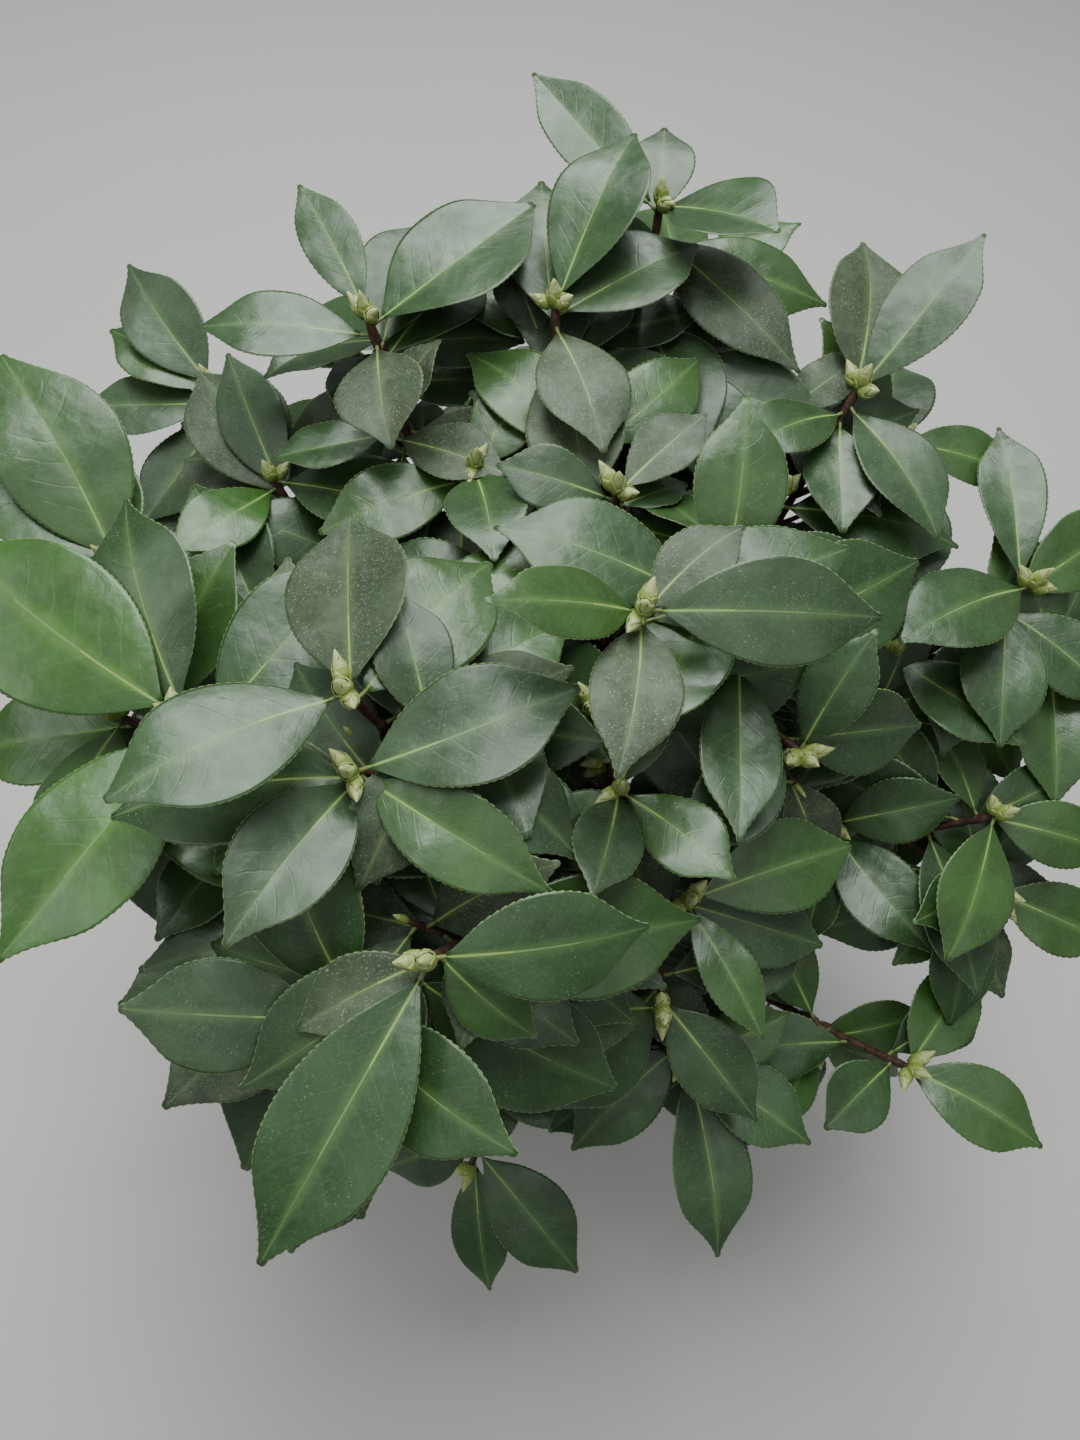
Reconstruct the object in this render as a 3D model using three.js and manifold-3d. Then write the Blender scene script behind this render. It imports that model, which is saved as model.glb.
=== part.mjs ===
// Camellia shrub in its nursery pot, at real size in millimetres, with +Z up.
// The origin is the centre of the pot's flat underside. A bearing is in degrees, counter-clockwise
// from +X, and the front of the shrub looks along -Y.
import * as THREE from 'three';
import { mergeVertices } from 'three/addons/utils/BufferGeometryUtils.js';
import Module from 'manifold-3d';

const wasm = await Module();
wasm.setup();

// Clear distance between neighbouring pieces
const GAP = 0.3;

// Pot of thin dark plastic, with a reinforced band and a turned-out lip
const POT = {
  height: 185,
  footRadius: 76,
  rimRadius: 101,
  lipOverhang: 4,
  lipThickness: 2.6,
  bandHeight: 24,
  bandStep: 1.8,
  wall: 2.4,
  floor: 3,
  footChamfer: 2.5,
  sides: 40,
};
const DRAIN = { count: 6, radius: 5.5, pitchRadius: 52, sides: 10 };

// Potting soil, flat round the trunk and a little sunk and uneven towards the wall
const SOIL = { height: 172, flatRadius: 26, edgeDrop: 3, unevenness: 1.6 };

// Trunk from its flat cut at soil level to the fork
const TRUNK = {
  top: 345,
  leanX: 8,
  leanY: 30,
  bow: 5,
  flareRadius: 11,
  footRadius: 7.4,
  topRadius: 4,
  flareHeight: 14,
  sides: 10,
  steps: 12,
};

// Limbs: a bough runs from the trunk to its mass, whose stem carries it on to the leading shoot.
// The twigs have three sides, so their corners stand further out than a round twig's bark would.
const LIMB = {
  baseRadius: 3.6,
  endRadius: 2.5,
  stemRadius: 3,
  shootRadius: 2.4,
  tipRadius: 1.8,
  boughShare: 0.5,
  boughSides: 5,
  boughSteps: 4,
  twigSides: 3,
  stemSteps: 4,
  shootSteps: 2,
};

// Side shoots leave the stem by turns of two fifths of a circle and bend up to the light, but end
// below the leading shoot
const SHOOT = { turnStep: 144, spreadAngle: 52, lift: 0.45, firstPlace: 0.12, lastPlace: 0.62, below: 28 };

// Leaves sit in a tight whorl at each shoot's tip, with looser ones below it. retries are changes of a
// leaf's rise and bearing, tried in turn until it stands clear of its neighbours.
const LEAF = {
  slimness: 2,
  thickness: 1.8,
  turnStep: 144,
  whorlCount: 5,
  firstGap: 1.4,
  whorlGap: 4,
  lowerGap: 18,
  tipElevation: 22,
  elevationStep: 8,
  towardsLight: 0.65,
  droop: 0.1,
  innerSize: 0.8,
  sizeStep: 0.07,
  testStart: 0.16,
  clearance: 0.8,
  retries: [
    [0, 0],
    [7, 0],
    [-7, 0],
    [0, 8],
    [0, -8],
    [14, 0],
    [-14, 0],
    [8, 15],
    [-8, 15],
    [8, -15],
    [-8, -15],
    [26, 0],
    [-26, 0],
  ],
};

// Flower bud at a shoot's tip: its full width is at its belly
const BUD = { length: 13, radius: 3.9, belly: 0.4, pointRadius: 0.4 };

// Masses of foliage. Each leading shoot ends at a bearing, a reach from the pot's axis and a height.
// from is where its bough leaves the trunk, leaf the length of its leaves, and side the number of its
// side shoots, each about spread long. whorl holds the leading leaves from the tip down, each as a
// bearing, a rise above the level, a length and, for an unusual leaf, its slimness. fork is a second
// leading shoot, which leaves the stem at a share of its length.
const MASSES = [
  { name: 'top_left', bearing: 210, reach: 111, height: 486, from: 298, leaf: 92, side: 1, spread: 56,
    whorl: [[220, 5, 90], [100, 5, 85, 1.7], [60, 0, 85, 1.7]],
    fork: { at: 0.4, bearing: 220, reach: 120, height: 465,
      whorl: [[25, 10, 90], [335, 0, 85, 2.5], [245, 0, 80], [195, -5, 95]] } },
  { name: 'front', bearing: 248, reach: 149, height: 446, from: 282, leaf: 92, side: 2, spread: 58,
    whorl: [[15, 0, 80], [245, -20, 115, 2.5], [210, -15, 55], [335, -30, 50]] },
  { name: 'middle', bearing: 301, reach: 18, height: 500, from: 345, leaf: 90, side: 3, spread: 62,
    whorl: [[5, 0, 90, 2.2], [205, 25, 70, 2.4], [265, 0, 75, 2.2], [45, 15, 55]] },
  { name: 'left', bearing: 195, reach: 177, height: 442, from: 266, leaf: 98, side: 2, spread: 60,
    whorl: [[150, 10, 125], [115, 20, 100], [240, -15, 115], [325, 0, 70]] },
  { name: 'middle_right', bearing: 8, reach: 58, height: 452, from: 318, leaf: 78, side: 2, spread: 58,
    whorl: [[35, 5, 95], [270, -5, 85, 2.6], [0, -15, 50]] },
  { name: 'middle_front', bearing: 280, reach: 56, height: 436, from: 330, leaf: 66, side: 1, spread: 44,
    whorl: [[260, 10, 55], [320, 5, 60], [70, 20, 45]] },
  { name: 'middle_back', bearing: 91, reach: 74, height: 472, from: 329, leaf: 72, side: 2, spread: 48,
    whorl: [[50, 10, 60], [175, 10, 55], [35, -5, 40], [245, 0, 50]] },
  { name: 'front_right', bearing: 300, reach: 91, height: 389, from: 246, leaf: 80, side: 2, spread: 56,
    whorl: [[25, 0, 80], [305, -15, 65, 2.7], [215, 0, 100], [355, -15, 70]] },
  { name: 'back', bearing: 103, reach: 166, height: 500, from: 322, leaf: 82, side: 2, spread: 60,
    whorl: [[70, 25, 95], [35, 10, 80, 1.7], [290, -5, 80], [100, 15, 90], [285, -5, 90]] },
  { name: 'back_left', bearing: 130, reach: 190, height: 496, from: 290, leaf: 80, side: 2, spread: 60,
    whorl: [[125, 20, 75, 2.8], [45, 15, 100, 1.7], [185, 0, 80], [285, -5, 65, 1.5], [80, 10, 85]] },
  { name: 'back_right', bearing: 54, reach: 186, height: 480, from: 306, leaf: 88, side: 2, spread: 60,
    whorl: [[90, 20, 80, 1.8], [50, 25, 95, 2.4], [300, -10, 80], [220, 5, 65], [270, -10, 65]] },
  { name: 'right', bearing: 22, reach: 216, height: 432, from: 276, leaf: 80, side: 2, spread: 58,
    whorl: [[215, 5, 85], [95, 15, 90, 2.8], [40, 10, 75], [265, -15, 75], [325, -15, 70]] },
  { name: 'far_back', bearing: 88, reach: 225, height: 517, from: 268, leaf: 86, side: 2, spread: 58,
    whorl: [[320, 15, 70, 1.5], [135, 15, 100, 2.8], [90, 15, 60], [320, -15, 100, 2.7], [255, 0, 55]] },
  { name: 'left_back', bearing: 149, reach: 192, height: 434, from: 240, leaf: 80, side: 1, spread: 58,
    whorl: [[350, 0, 85], [235, 5, 65], [120, 20, 80, 2.3], [130, 10, 90, 1.7]],
    fork: { at: 0.2, bearing: 141, reach: 278, height: 420,
      whorl: [[135, 25, 80], [155, 10, 70], [185, -5, 75]] } },
  { name: 'far_left', bearing: 172, reach: 222, height: 440, from: 250, leaf: 90, side: 1, spread: 54,
    whorl: [[150, 10, 100], [130, 20, 110], [115, 15, 70], [250, 5, 70]] },
  { name: 'right_low', bearing: 357, reach: 196, height: 370, from: 252, leaf: 76, side: 2, spread: 56,
    whorl: [[250, -15, 75], [355, -10, 65], [110, 5, 60], [30, 10, 55]] },
  { name: 'front_low', bearing: 295, reach: 137, height: 322, from: 218, leaf: 80, side: 1, spread: 54,
    whorl: [[25, 10, 50, 1.7], [285, -25, 90, 2.5], [330, -15, 70], [225, -25, 70], [215, -20, 75]] },
  { name: 'front_left_low', bearing: 223, reach: 141, height: 365, from: 232, leaf: 88, side: 2, spread: 58,
    whorl: [[200, 0, 85], [230, -15, 105], [250, -15, 115], [280, -15, 120]] },
  { name: 'low_right', bearing: 328, reach: 204, height: 284, from: 228, leaf: 66, side: 1, spread: 50,
    whorl: [[60, 15, 65, 1.8], [335, -5, 75], [225, -5, 50, 1.6]] },
  { name: 'low_left', bearing: 180, reach: 170, height: 345, from: 212, leaf: 80, side: 3, spread: 58,
    whorl: [] },
  { name: 'low_back_right', bearing: 38, reach: 184, height: 312, from: 216, leaf: 80, side: 2, spread: 58,
    whorl: [] },
  { name: 'low_back', bearing: 84, reach: 180, height: 330, from: 226, leaf: 80, side: 2, spread: 58,
    whorl: [] },
  { name: 'low_back_left', bearing: 132, reach: 182, height: 330, from: 206, leaf: 80, side: 3, spread: 58,
    whorl: [] },
  { name: 'low_front', bearing: 256, reach: 158, height: 182, from: 200, leaf: 68, side: 0, spread: 44,
    whorl: [[65, 5, 50], [285, -35, 75, 2.4], [320, -20, 85], [175, -5, 50]] },
];

const COLOURS = {
  pot: 0x2b2a2c,
  soil: 0x6b3a2b,
  bark: 0x4d3a2e,
  bough: 0x5b4232,
  leaves: 0x2f4a34,
};

const UP = new THREE.Vector3(0, 0, 1);

// Most light falls on the shrub from above and from the front, and its leaves turn to it
const LIGHT = new THREE.Vector3(-0.05, -0.42, 1).normalize();

// Seeded numbers from 0 to 1, the same for every run
class Dice {
  constructor(seed) {
    this.state = seed;
  }

  roll() {
    this.state = (this.state * 16807) % 2147483647;
    return this.state / 2147483647;
  }

  between(low, high) {
    return low + (high - low) * this.roll();
  }
}

// Point at a bearing, a reach from the pot's axis and a height
function place(bearing, reach, height) {
  const angle = THREE.MathUtils.degToRad(bearing);
  return new THREE.Vector3(reach * Math.cos(angle), reach * Math.sin(angle), height);
}

// Closed solid from a three.js geometry
function solidOf(geometry) {
  const bare = geometry.index ? geometry.toNonIndexed() : geometry.clone();
  bare.deleteAttribute('normal');
  bare.deleteAttribute('uv');
  const merged = mergeVertices(bare, 1e-4);
  const mesh = new wasm.Mesh({
    numProp: 3,
    vertProperties: new Float32Array(merged.attributes.position.array),
    triVerts: new Uint32Array(merged.index.array),
  });
  return new wasm.Manifold(mesh);
}

// three.js geometry from a closed solid
function geometryOf(solid) {
  const mesh = solid.getMesh();
  const geometry = new THREE.BufferGeometry();
  geometry.setAttribute('position', new THREE.BufferAttribute(new Float32Array(mesh.vertProperties), 3));
  geometry.setIndex(new THREE.BufferAttribute(new Uint32Array(mesh.triVerts), 1));
  geometry.computeVertexNormals();
  return geometry;
}

// Limb along a curve, with its radius given for each share of the length. A bud goes on from its
// end as two more rings, given as a way past the end and a radius.
function limbGeometry(curve, radiusAt, sides, steps, bud = []) {
  const rings = steps + bud.length;
  const geometry = new THREE.CylinderGeometry(1, 1, 1, sides, rings);
  const frames = curve.computeFrenetFrames(steps, false);
  const spots = geometry.attributes.position;
  for (let i = 0; i < spots.count; i++) {
    const ring = Math.round((spots.getY(i) + 0.5) * rings);
    const step = Math.min(ring, steps);
    const past = ring > steps ? bud[ring - steps - 1] : [0, radiusAt(step / steps)];
    const spot = curve.getPointAt(step / steps);
    spot.addScaledVector(frames.tangents[step], past[0]);
    spot.addScaledVector(frames.normals[step], spots.getX(i) * past[1]);
    spot.addScaledVector(frames.binormals[step], -spots.getZ(i) * past[1]);
    spots.setXYZ(i, spot.x, spot.y, spot.z);
  }
  return geometry;
}

// Stretch of a quadratic curve between two of its parameters
function stretch(curve, start, end) {
  const from = curve.getPoint(start);
  const to = curve.getPoint(end);
  const pull = curve.v1.clone().lerp(curve.v2, start);
  const middle = curve.v0.clone().lerp(curve.v1, start).lerp(pull, end);
  return new THREE.QuadraticBezierCurve3(from, middle, to);
}

// Pot: one lathe profile, then the drain holes through its floor
function makePot() {
  const bandFoot = POT.height - POT.bandHeight;
  const wallAt = (z) => POT.footRadius + ((POT.rimRadius - POT.footRadius) * z) / POT.height;
  const lipRadius = POT.rimRadius + POT.lipOverhang;
  const innerRim = POT.rimRadius - POT.wall;
  const innerFoot = wallAt(POT.floor) - POT.wall;
  const profile = [
    [0, 0],
    [POT.footRadius - POT.footChamfer, 0],
    [POT.footRadius, POT.footChamfer],
    [wallAt(bandFoot) - POT.bandStep, bandFoot - POT.bandStep],
    [wallAt(bandFoot), bandFoot],
    [POT.rimRadius, POT.height - POT.lipThickness],
    [lipRadius, POT.height - POT.lipThickness],
    [lipRadius, POT.height - POT.lipThickness / 3],
    [lipRadius - POT.lipThickness / 3, POT.height],
    [innerRim, POT.height],
    [innerFoot, POT.floor],
    [0, POT.floor],
  ];
  const points = profile.map(([radius, z]) => new THREE.Vector2(radius, z));
  const body = new THREE.LatheGeometry(points, POT.sides).rotateX(Math.PI / 2);
  let pot = solidOf(body);
  for (let i = 0; i < DRAIN.count; i++) {
    const angle = (2 * Math.PI * (i + 0.5)) / DRAIN.count;
    const drill = new THREE.CylinderGeometry(DRAIN.radius, DRAIN.radius, 4 * POT.floor, DRAIN.sides);
    drill.rotateX(Math.PI / 2);
    drill.translate(DRAIN.pitchRadius * Math.cos(angle), DRAIN.pitchRadius * Math.sin(angle), 0);
    pot = pot.subtract(solidOf(drill));
  }
  return pot;
}

// Soil: fills the pot to a finger's breadth below the lip, with an uneven ring round its flat middle
function makeSoil() {
  const innerFoot = POT.footRadius + ((POT.rimRadius - POT.footRadius) * POT.floor) / POT.height - POT.wall;
  const innerRim = POT.rimRadius - POT.wall;
  const floor = POT.floor + GAP;
  const edge = SOIL.height - SOIL.edgeDrop;
  const widening = (innerRim - innerFoot) / (POT.height - POT.floor);
  const innerAt = (z) => innerFoot + widening * (z - POT.floor) - 2 * GAP;
  const profile = [
    [0, floor],
    [innerAt(floor), floor],
    [innerAt(edge), edge],
    [(innerAt(edge) + SOIL.flatRadius) * 0.62, SOIL.height - SOIL.edgeDrop * 0.5],
    [SOIL.flatRadius, SOIL.height],
    [0, SOIL.height],
  ];
  const points = profile.map(([radius, z]) => new THREE.Vector2(radius, z));
  const geometry = new THREE.LatheGeometry(points, POT.sides).rotateX(Math.PI / 2);
  const spots = geometry.attributes.position;
  for (let i = 0; i < spots.count; i++) {
    const radius = Math.hypot(spots.getX(i), spots.getY(i));
    const inRing = spots.getZ(i) > floor + 1 && radius > SOIL.flatRadius + 1 && radius < innerAt(edge) - 1;
    if (inRing) {
      const angle = Math.atan2(spots.getY(i), spots.getX(i));
      const wave = Math.sin(3 * angle + 1) + 0.6 * Math.sin(7 * angle);
      spots.setZ(i, spots.getZ(i) + SOIL.unevenness * wave);
    }
  }
  return solidOf(geometry);
}

// Trunk's centre line
const trunkFoot = new THREE.Vector3(0, 0, SOIL.height + GAP);
const trunkTop = new THREE.Vector3(TRUNK.leanX, TRUNK.leanY, TRUNK.top);
const trunkMiddle = trunkFoot.clone().lerp(trunkTop, 0.5).add(new THREE.Vector3(-TRUNK.bow, -TRUNK.bow, 0));
const trunkCurve = new THREE.QuadraticBezierCurve3(trunkFoot, trunkMiddle, trunkTop);

// Trunk's radius: a root flare that fades within a short height, then an even taper
function trunkRadius(share) {
  const height = share * (TRUNK.top - SOIL.height);
  const flare = (TRUNK.flareRadius - TRUNK.footRadius) * Math.exp((-3 * height) / TRUNK.flareHeight);
  return THREE.MathUtils.lerp(TRUNK.footRadius, TRUNK.topRadius, share) + flare;
}

// Trunk solid, wider by extra all round, its foot pressed flat at soil level
function makeTrunk(extra) {
  const geometry = limbGeometry(trunkCurve, (share) => trunkRadius(share) + extra, TRUNK.sides, TRUNK.steps);
  const spots = geometry.attributes.position;
  for (let i = 0; i < spots.count; i++) {
    spots.setZ(i, Math.max(spots.getZ(i), trunkFoot.z));
  }
  return solidOf(geometry);
}

// Straight pieces of a limb, which other pieces keep clear of
function segmentsOf(curve, steps, radiusAt) {
  const list = [];
  for (let i = 0; i < steps; i++) {
    const points = [curve.getPointAt(i / steps), curve.getPointAt((i + 1) / steps)];
    list.push({ points, radius: radiusAt((i + 0.5) / steps) });
  }
  return list;
}

// Limb of a mass: one curve from the trunk's axis to the tip of the leading shoot. The one from the
// trunk's top goes straight on from it.
function limbOf(mass) {
  const tip = place(mass.bearing, mass.reach, mass.height);
  if (mass.from >= TRUNK.top) {
    const ahead = trunkCurve.getTangent(1);
    const foot = trunkTop.clone().addScaledVector(ahead, GAP);
    const bend = foot.clone().addScaledVector(ahead, 0.4 * foot.distanceTo(tip));
    return new THREE.QuadraticBezierCurve3(foot, bend, tip);
  }
  const onTrunk = (mass.from - trunkFoot.z) / (trunkTop.z - trunkFoot.z);
  const start = trunkCurve.getPoint(onTrunk);
  const run = start.distanceTo(tip);
  const middle = start.clone().lerp(tip, 0.5);
  const outward = new THREE.Vector3(tip.x - start.x, tip.y - start.y, 0).normalize();
  middle.addScaledVector(outward, 0.1 * run);
  const rises = tip.z > start.z + 40;
  middle.z += rises ? -0.1 * run : 0.22 * run;
  return new THREE.QuadraticBezierCurve3(start, middle, tip);
}

// A vector turned about an axis
function turned(vector, axis, degrees) {
  return vector.clone().applyAxisAngle(axis, THREE.MathUtils.degToRad(degrees));
}

// The part of a vector that is square to an axis, as a unit vector
function squareTo(vector, axis) {
  return vector.clone().addScaledVector(axis, -vector.dot(axis)).normalize();
}

// Second leading shoot of a mass, from its stem up to a named place
function forkOf(fork, stem) {
  const start = stem.getPoint(fork.at);
  const tip = place(fork.bearing, fork.reach, fork.height);
  const middle = start.clone().lerp(tip, 0.5);
  middle.z -= 0.25 * start.distanceTo(tip);
  return new THREE.QuadraticBezierCurve3(start, middle, tip);
}

// Side shoots of a stem, each a short curve that leaves it sideways and bends up
function sideShoots(mass, stem, dice) {
  const list = [];
  const firstTurn = dice.between(0, 360);
  for (let i = 0; i < mass.side; i++) {
    const along = THREE.MathUtils.lerp(SHOOT.firstPlace, SHOOT.lastPlace, (i + 0.5) / mass.side);
    const start = stem.getPoint(along + dice.between(-0.05, 0.05));
    const heading = stem.getTangent(along);
    const side = turned(squareTo(UP, heading), heading, firstTurn + SHOOT.turnStep * i);
    const leaning = THREE.MathUtils.degToRad(SHOOT.spreadAngle + dice.between(-9, 9));
    const way = heading.clone().multiplyScalar(Math.cos(leaning)).addScaledVector(side, Math.sin(leaning));
    const length = mass.spread * dice.between(0.85, 1.2);
    const middle = start.clone().addScaledVector(way, length * 0.5);
    const rising = way.clone().addScaledVector(UP, SHOOT.lift).normalize();
    const tip = start.clone().addScaledVector(way, length * 0.45).addScaledVector(rising, length * 0.6);
    tip.z = Math.min(tip.z, stem.v2.z - SHOOT.below);
    list.push(new THREE.QuadraticBezierCurve3(start, middle, tip));
  }
  return list;
}

// Bearing, rise and length of a leaf of the spiral round a shoot, counted from the shoot's tip
function spiralLeaf(mass, axis, turn, order, dice) {
  const radial = squareTo(place(turn + dice.between(-8, 8), 1, 0), axis);
  const elevation = LEAF.tipElevation - LEAF.elevationStep * Math.min(order, 5) + dice.between(-7, 7);
  const angle = THREE.MathUtils.degToRad(elevation);
  const along = radial.multiplyScalar(Math.cos(angle)).addScaledVector(axis, Math.sin(angle));
  along.z -= LEAF.droop;
  const bearing = THREE.MathUtils.radToDeg(Math.atan2(along.y, along.x));
  const rise = THREE.MathUtils.radToDeg(Math.asin(along.z / along.length()));
  const length = mass.leaf * (LEAF.innerSize + LEAF.sizeStep * Math.min(order, 3)) * dice.between(0.92, 1.08);
  return [bearing, rise, length];
}

// Leaf places along a shoot, from its tip down: the leaves of a named whorl, if it has one, then the
// leaf spiral. The round tells when a leaf is placed: named leaves first, then those of other whorls.
function leafPlaces(mass, curve, whorl, dice) {
  const length = curve.getLength();
  const axis = curve.getTangent(1).lerp(LIGHT, LEAF.towardsLight).normalize();
  const first = dice.between(0, 360);
  const list = [];
  let back = LEAF.firstGap;
  for (let i = 0; back < length * 0.8; i++) {
    const leaf = whorl[i] ?? spiralLeaf(mass, axis, first + LEAF.turnStep * i, i, dice);
    const inWhorl = i < (whorl.length || LEAF.whorlCount);
    const round = i < whorl.length ? 0 : inWhorl ? 1 : 2;
    list.push({ root: curve.getPointAt(1 - back / length), axis, leaf, roll: dice.between(-14, 14), round });
    back += inWhorl ? LEAF.whorlGap : LEAF.lowerGap * dice.between(0.8, 1.2);
  }
  return list;
}

// Corners of a leaf blade: root, two on the left, tip, two on the right. Its sides stand a little
// higher than the line from root to tip, so that the eight faces enclose a thin keeled blade.
function leafCorners(spot, [lift, swing]) {
  const [bearing, rise, length, slimness = LEAF.slimness] = spot.leaf;
  const slope = THREE.MathUtils.degToRad(rise + lift);
  const along = place(bearing + swing, Math.cos(slope), Math.sin(slope));
  const sky = LIGHT.clone().multiplyScalar(0.8).addScaledVector(spot.axis, 0.5);
  const facing = turned(squareTo(sky, along), along, spot.roll);
  const across = new THREE.Vector3().crossVectors(facing, along);
  const half = length / slimness / 2;
  const at = (share, side, height) =>
    spot.root
      .clone()
      .addScaledVector(along, share * length)
      .addScaledVector(across, side * half)
      .addScaledVector(facing, height);
  const root = at(0, 0, 0);
  const neck = at(LEAF.testStart, 0, -LEAF.thickness / 2);
  const left = [at(0.3, 0.88, LEAF.thickness / 2), at(0.68, 0.8, LEAF.thickness / 2)];
  const right = [at(0.68, -0.8, LEAF.thickness / 2), at(0.3, -0.88, LEAF.thickness / 2)];
  const tip = at(1, 0, -LEAF.thickness / 2);
  return { solid: [root, ...left, tip, ...right], blade: [neck, ...left, tip, ...right] };
}

// Faces and edges of a blade, by the numbers of its six corners
const BLADE_FACES = [
  [0, 1, 2],
  [0, 2, 3],
  [0, 3, 4],
  [0, 4, 5],
  [0, 5, 1],
  [1, 5, 2],
  [2, 5, 4],
  [2, 4, 3],
];
const BLADE_EDGES = [
  [0, 1],
  [1, 2],
  [2, 3],
  [3, 4],
  [4, 5],
  [5, 0],
  [0, 2],
  [0, 3],
  [0, 4],
  [1, 5],
  [2, 5],
  [2, 4],
];

function leafSolid(corners) {
  const geometry = new THREE.BufferGeometry();
  const numbers = corners.flatMap((corner) => corner.toArray());
  geometry.setAttribute('position', new THREE.Float32BufferAttribute(numbers, 3));
  geometry.setIndex(BLADE_FACES.flat());
  return solidOf(geometry);
}

// A shape for the clearance test: its points, the directions of its edges and of its faces
function blockOf(points, radius) {
  const isBlade = points.length === 6;
  const edges = isBlade ? BLADE_EDGES : [[0, 1]];
  const ways = edges.map(([a, b]) => points[b].clone().sub(points[a]).normalize());
  const faces = isBlade
    ? BLADE_FACES.map(([a, b, c]) =>
        points[b].clone().sub(points[a]).cross(points[c].clone().sub(points[a])).normalize(),
      )
    : [];
  const centre = new THREE.Vector3();
  points.forEach((point) => centre.addScaledVector(point, 1 / points.length));
  const size = Math.max(...points.map((point) => point.distanceTo(centre)));
  return { points, ways, faces, centre, size, radius };
}

// Width of the clear space between two shapes along one direction
function clearAlong(axis, a, b) {
  let [lowA, highA, lowB, highB] = [Infinity, -Infinity, Infinity, -Infinity];
  for (const point of a.points) {
    const value = axis.dot(point);
    lowA = Math.min(lowA, value);
    highA = Math.max(highA, value);
  }
  for (const point of b.points) {
    const value = axis.dot(point);
    lowB = Math.min(lowB, value);
    highB = Math.max(highB, value);
  }
  return Math.max(lowB - highA, lowA - highB);
}

// Whether two shapes are apart: some direction shows clear space between them
function apart(a, b) {
  const needed = a.radius + b.radius + LEAF.clearance;
  if (a.centre.distanceTo(b.centre) > a.size + b.size + needed) {
    return true;
  }
  for (const axis of [...a.faces, ...b.faces]) {
    if (clearAlong(axis, a, b) > needed) {
      return true;
    }
  }
  const axis = new THREE.Vector3();
  for (const wayA of a.ways) {
    for (const wayB of b.ways) {
      axis.crossVectors(wayA, wayB);
      if (axis.lengthSq() > 1e-6 && clearAlong(axis.normalize(), a, b) > needed) {
        return true;
      }
    }
  }
  return false;
}

// Whether points and the middles between them miss the pot, its soil and the ground
function missesPot(points) {
  const outside = (x, y, z) =>
    z > 6 && (z > POT.height + 4 || Math.hypot(x, y) > POT.rimRadius + POT.lipOverhang + 4);
  for (const a of points) {
    for (const b of points) {
      if (!outside((a.x + b.x) / 2, (a.y + b.y) / 2, (a.z + b.z) / 2)) {
        return false;
      }
    }
  }
  return true;
}

const limbRadius = (share) => THREE.MathUtils.lerp(LIMB.baseRadius, LIMB.endRadius, share);
const stemRadius = (share) => THREE.MathUtils.lerp(LIMB.stemRadius, LIMB.tipRadius, share);
const shootRadius = (share) => THREE.MathUtils.lerp(LIMB.shootRadius, LIMB.tipRadius, share);

// Whether a block is apart from every block in a list
function clearOf(block, list) {
  return list.every((other) => apart(block, other));
}

// Blocks of a twig, with one for the bud that goes on from its end
function twigBlocks(curve, steps, radiusAt) {
  const end = curve.getPoint(1);
  const point = end.clone().addScaledVector(curve.getTangent(1), BUD.length);
  const pieces = [...segmentsOf(curve, steps, radiusAt), { points: [end, point], radius: BUD.radius }];
  return pieces.map((piece) => blockOf(piece.points, piece.radius));
}

// Limbs of the whole shrub, then the shoots that keep clear of them
function growLimbs() {
  const limbs = segmentsOf(trunkCurve, 6, trunkRadius).map((piece) => blockOf(piece.points, piece.radius));
  const plans = MASSES.map((mass, index) => {
    const curve = limbOf(mass);
    const fromTop = mass.from >= TRUNK.top;
    const split = fromTop ? 0 : LIMB.boughShare;
    const gapShare = fromTop ? 0 : GAP / curve.getLength();
    const bough = fromTop ? null : stretch(curve, 0, split);
    const stem = stretch(curve, split + gapShare, 1);
    const shoots = mass.fork ? [{ curve: forkOf(mass.fork, stem), whorl: mass.fork.whorl }] : [];
    return { mass, bough, stem, dice: new Dice(2000 + 77 * index), shoots, leaves: [] };
  });
  for (const plan of plans.filter((each) => each.bough)) {
    const pieces = segmentsOf(plan.bough, LIMB.boughSteps, limbRadius);
    limbs.push(...pieces.map((piece) => blockOf(piece.points, piece.radius)));
  }
  const twigs = [];
  for (const plan of plans) {
    const blocks = twigBlocks(plan.stem, LIMB.stemSteps, stemRadius);
    blocks.forEach((block) => twigs.push({ block, owner: plan, curve: plan.stem }));
    for (const { curve } of plan.shoots) {
      const pieces = twigBlocks(curve, LIMB.shootSteps, shootRadius);
      pieces.forEach((block) => twigs.push({ block, owner: plan, curve }));
    }
  }
  for (const plan of plans) {
    for (const curve of sideShoots(plan.mass, plan.stem, plan.dice)) {
      const blocks = twigBlocks(curve, LIMB.shootSteps, shootRadius);
      const others = twigs.filter((twig) => twig.owner !== plan).map((twig) => twig.block);
      const fits = blocks.every((block) => clearOf(block, limbs) && clearOf(block, others));
      if (fits && missesPot(blocks.flatMap((block) => block.points))) {
        plan.shoots.push({ curve, whorl: [] });
        blocks.forEach((block) => twigs.push({ block, owner: plan, curve }));
      }
    }
  }
  return { plans, limbs, twigs };
}

// Whether a leaf keeps clear of the limbs, the twigs and the leaves that are already there. Within
// its own mass only its blade counts, because leaves of one whorl meet at their roots.
function leafFits(plan, curve, corners, { limbs, twigs }, placed) {
  const blade = blockOf(corners.blade, 0);
  const whole = blockOf(corners.solid, 0);
  const shapeFor = (owner) => (owner === plan ? blade : whole);
  return (
    missesPot(corners.blade) &&
    clearOf(whole, limbs) &&
    twigs.every((twig) => twig.curve === curve || apart(shapeFor(twig.owner), twig.block)) &&
    placed.every((leaf) => (leaf.owner === plan ? apart(blade, leaf.blade) : apart(whole, leaf.whole)))
  );
}

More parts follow.
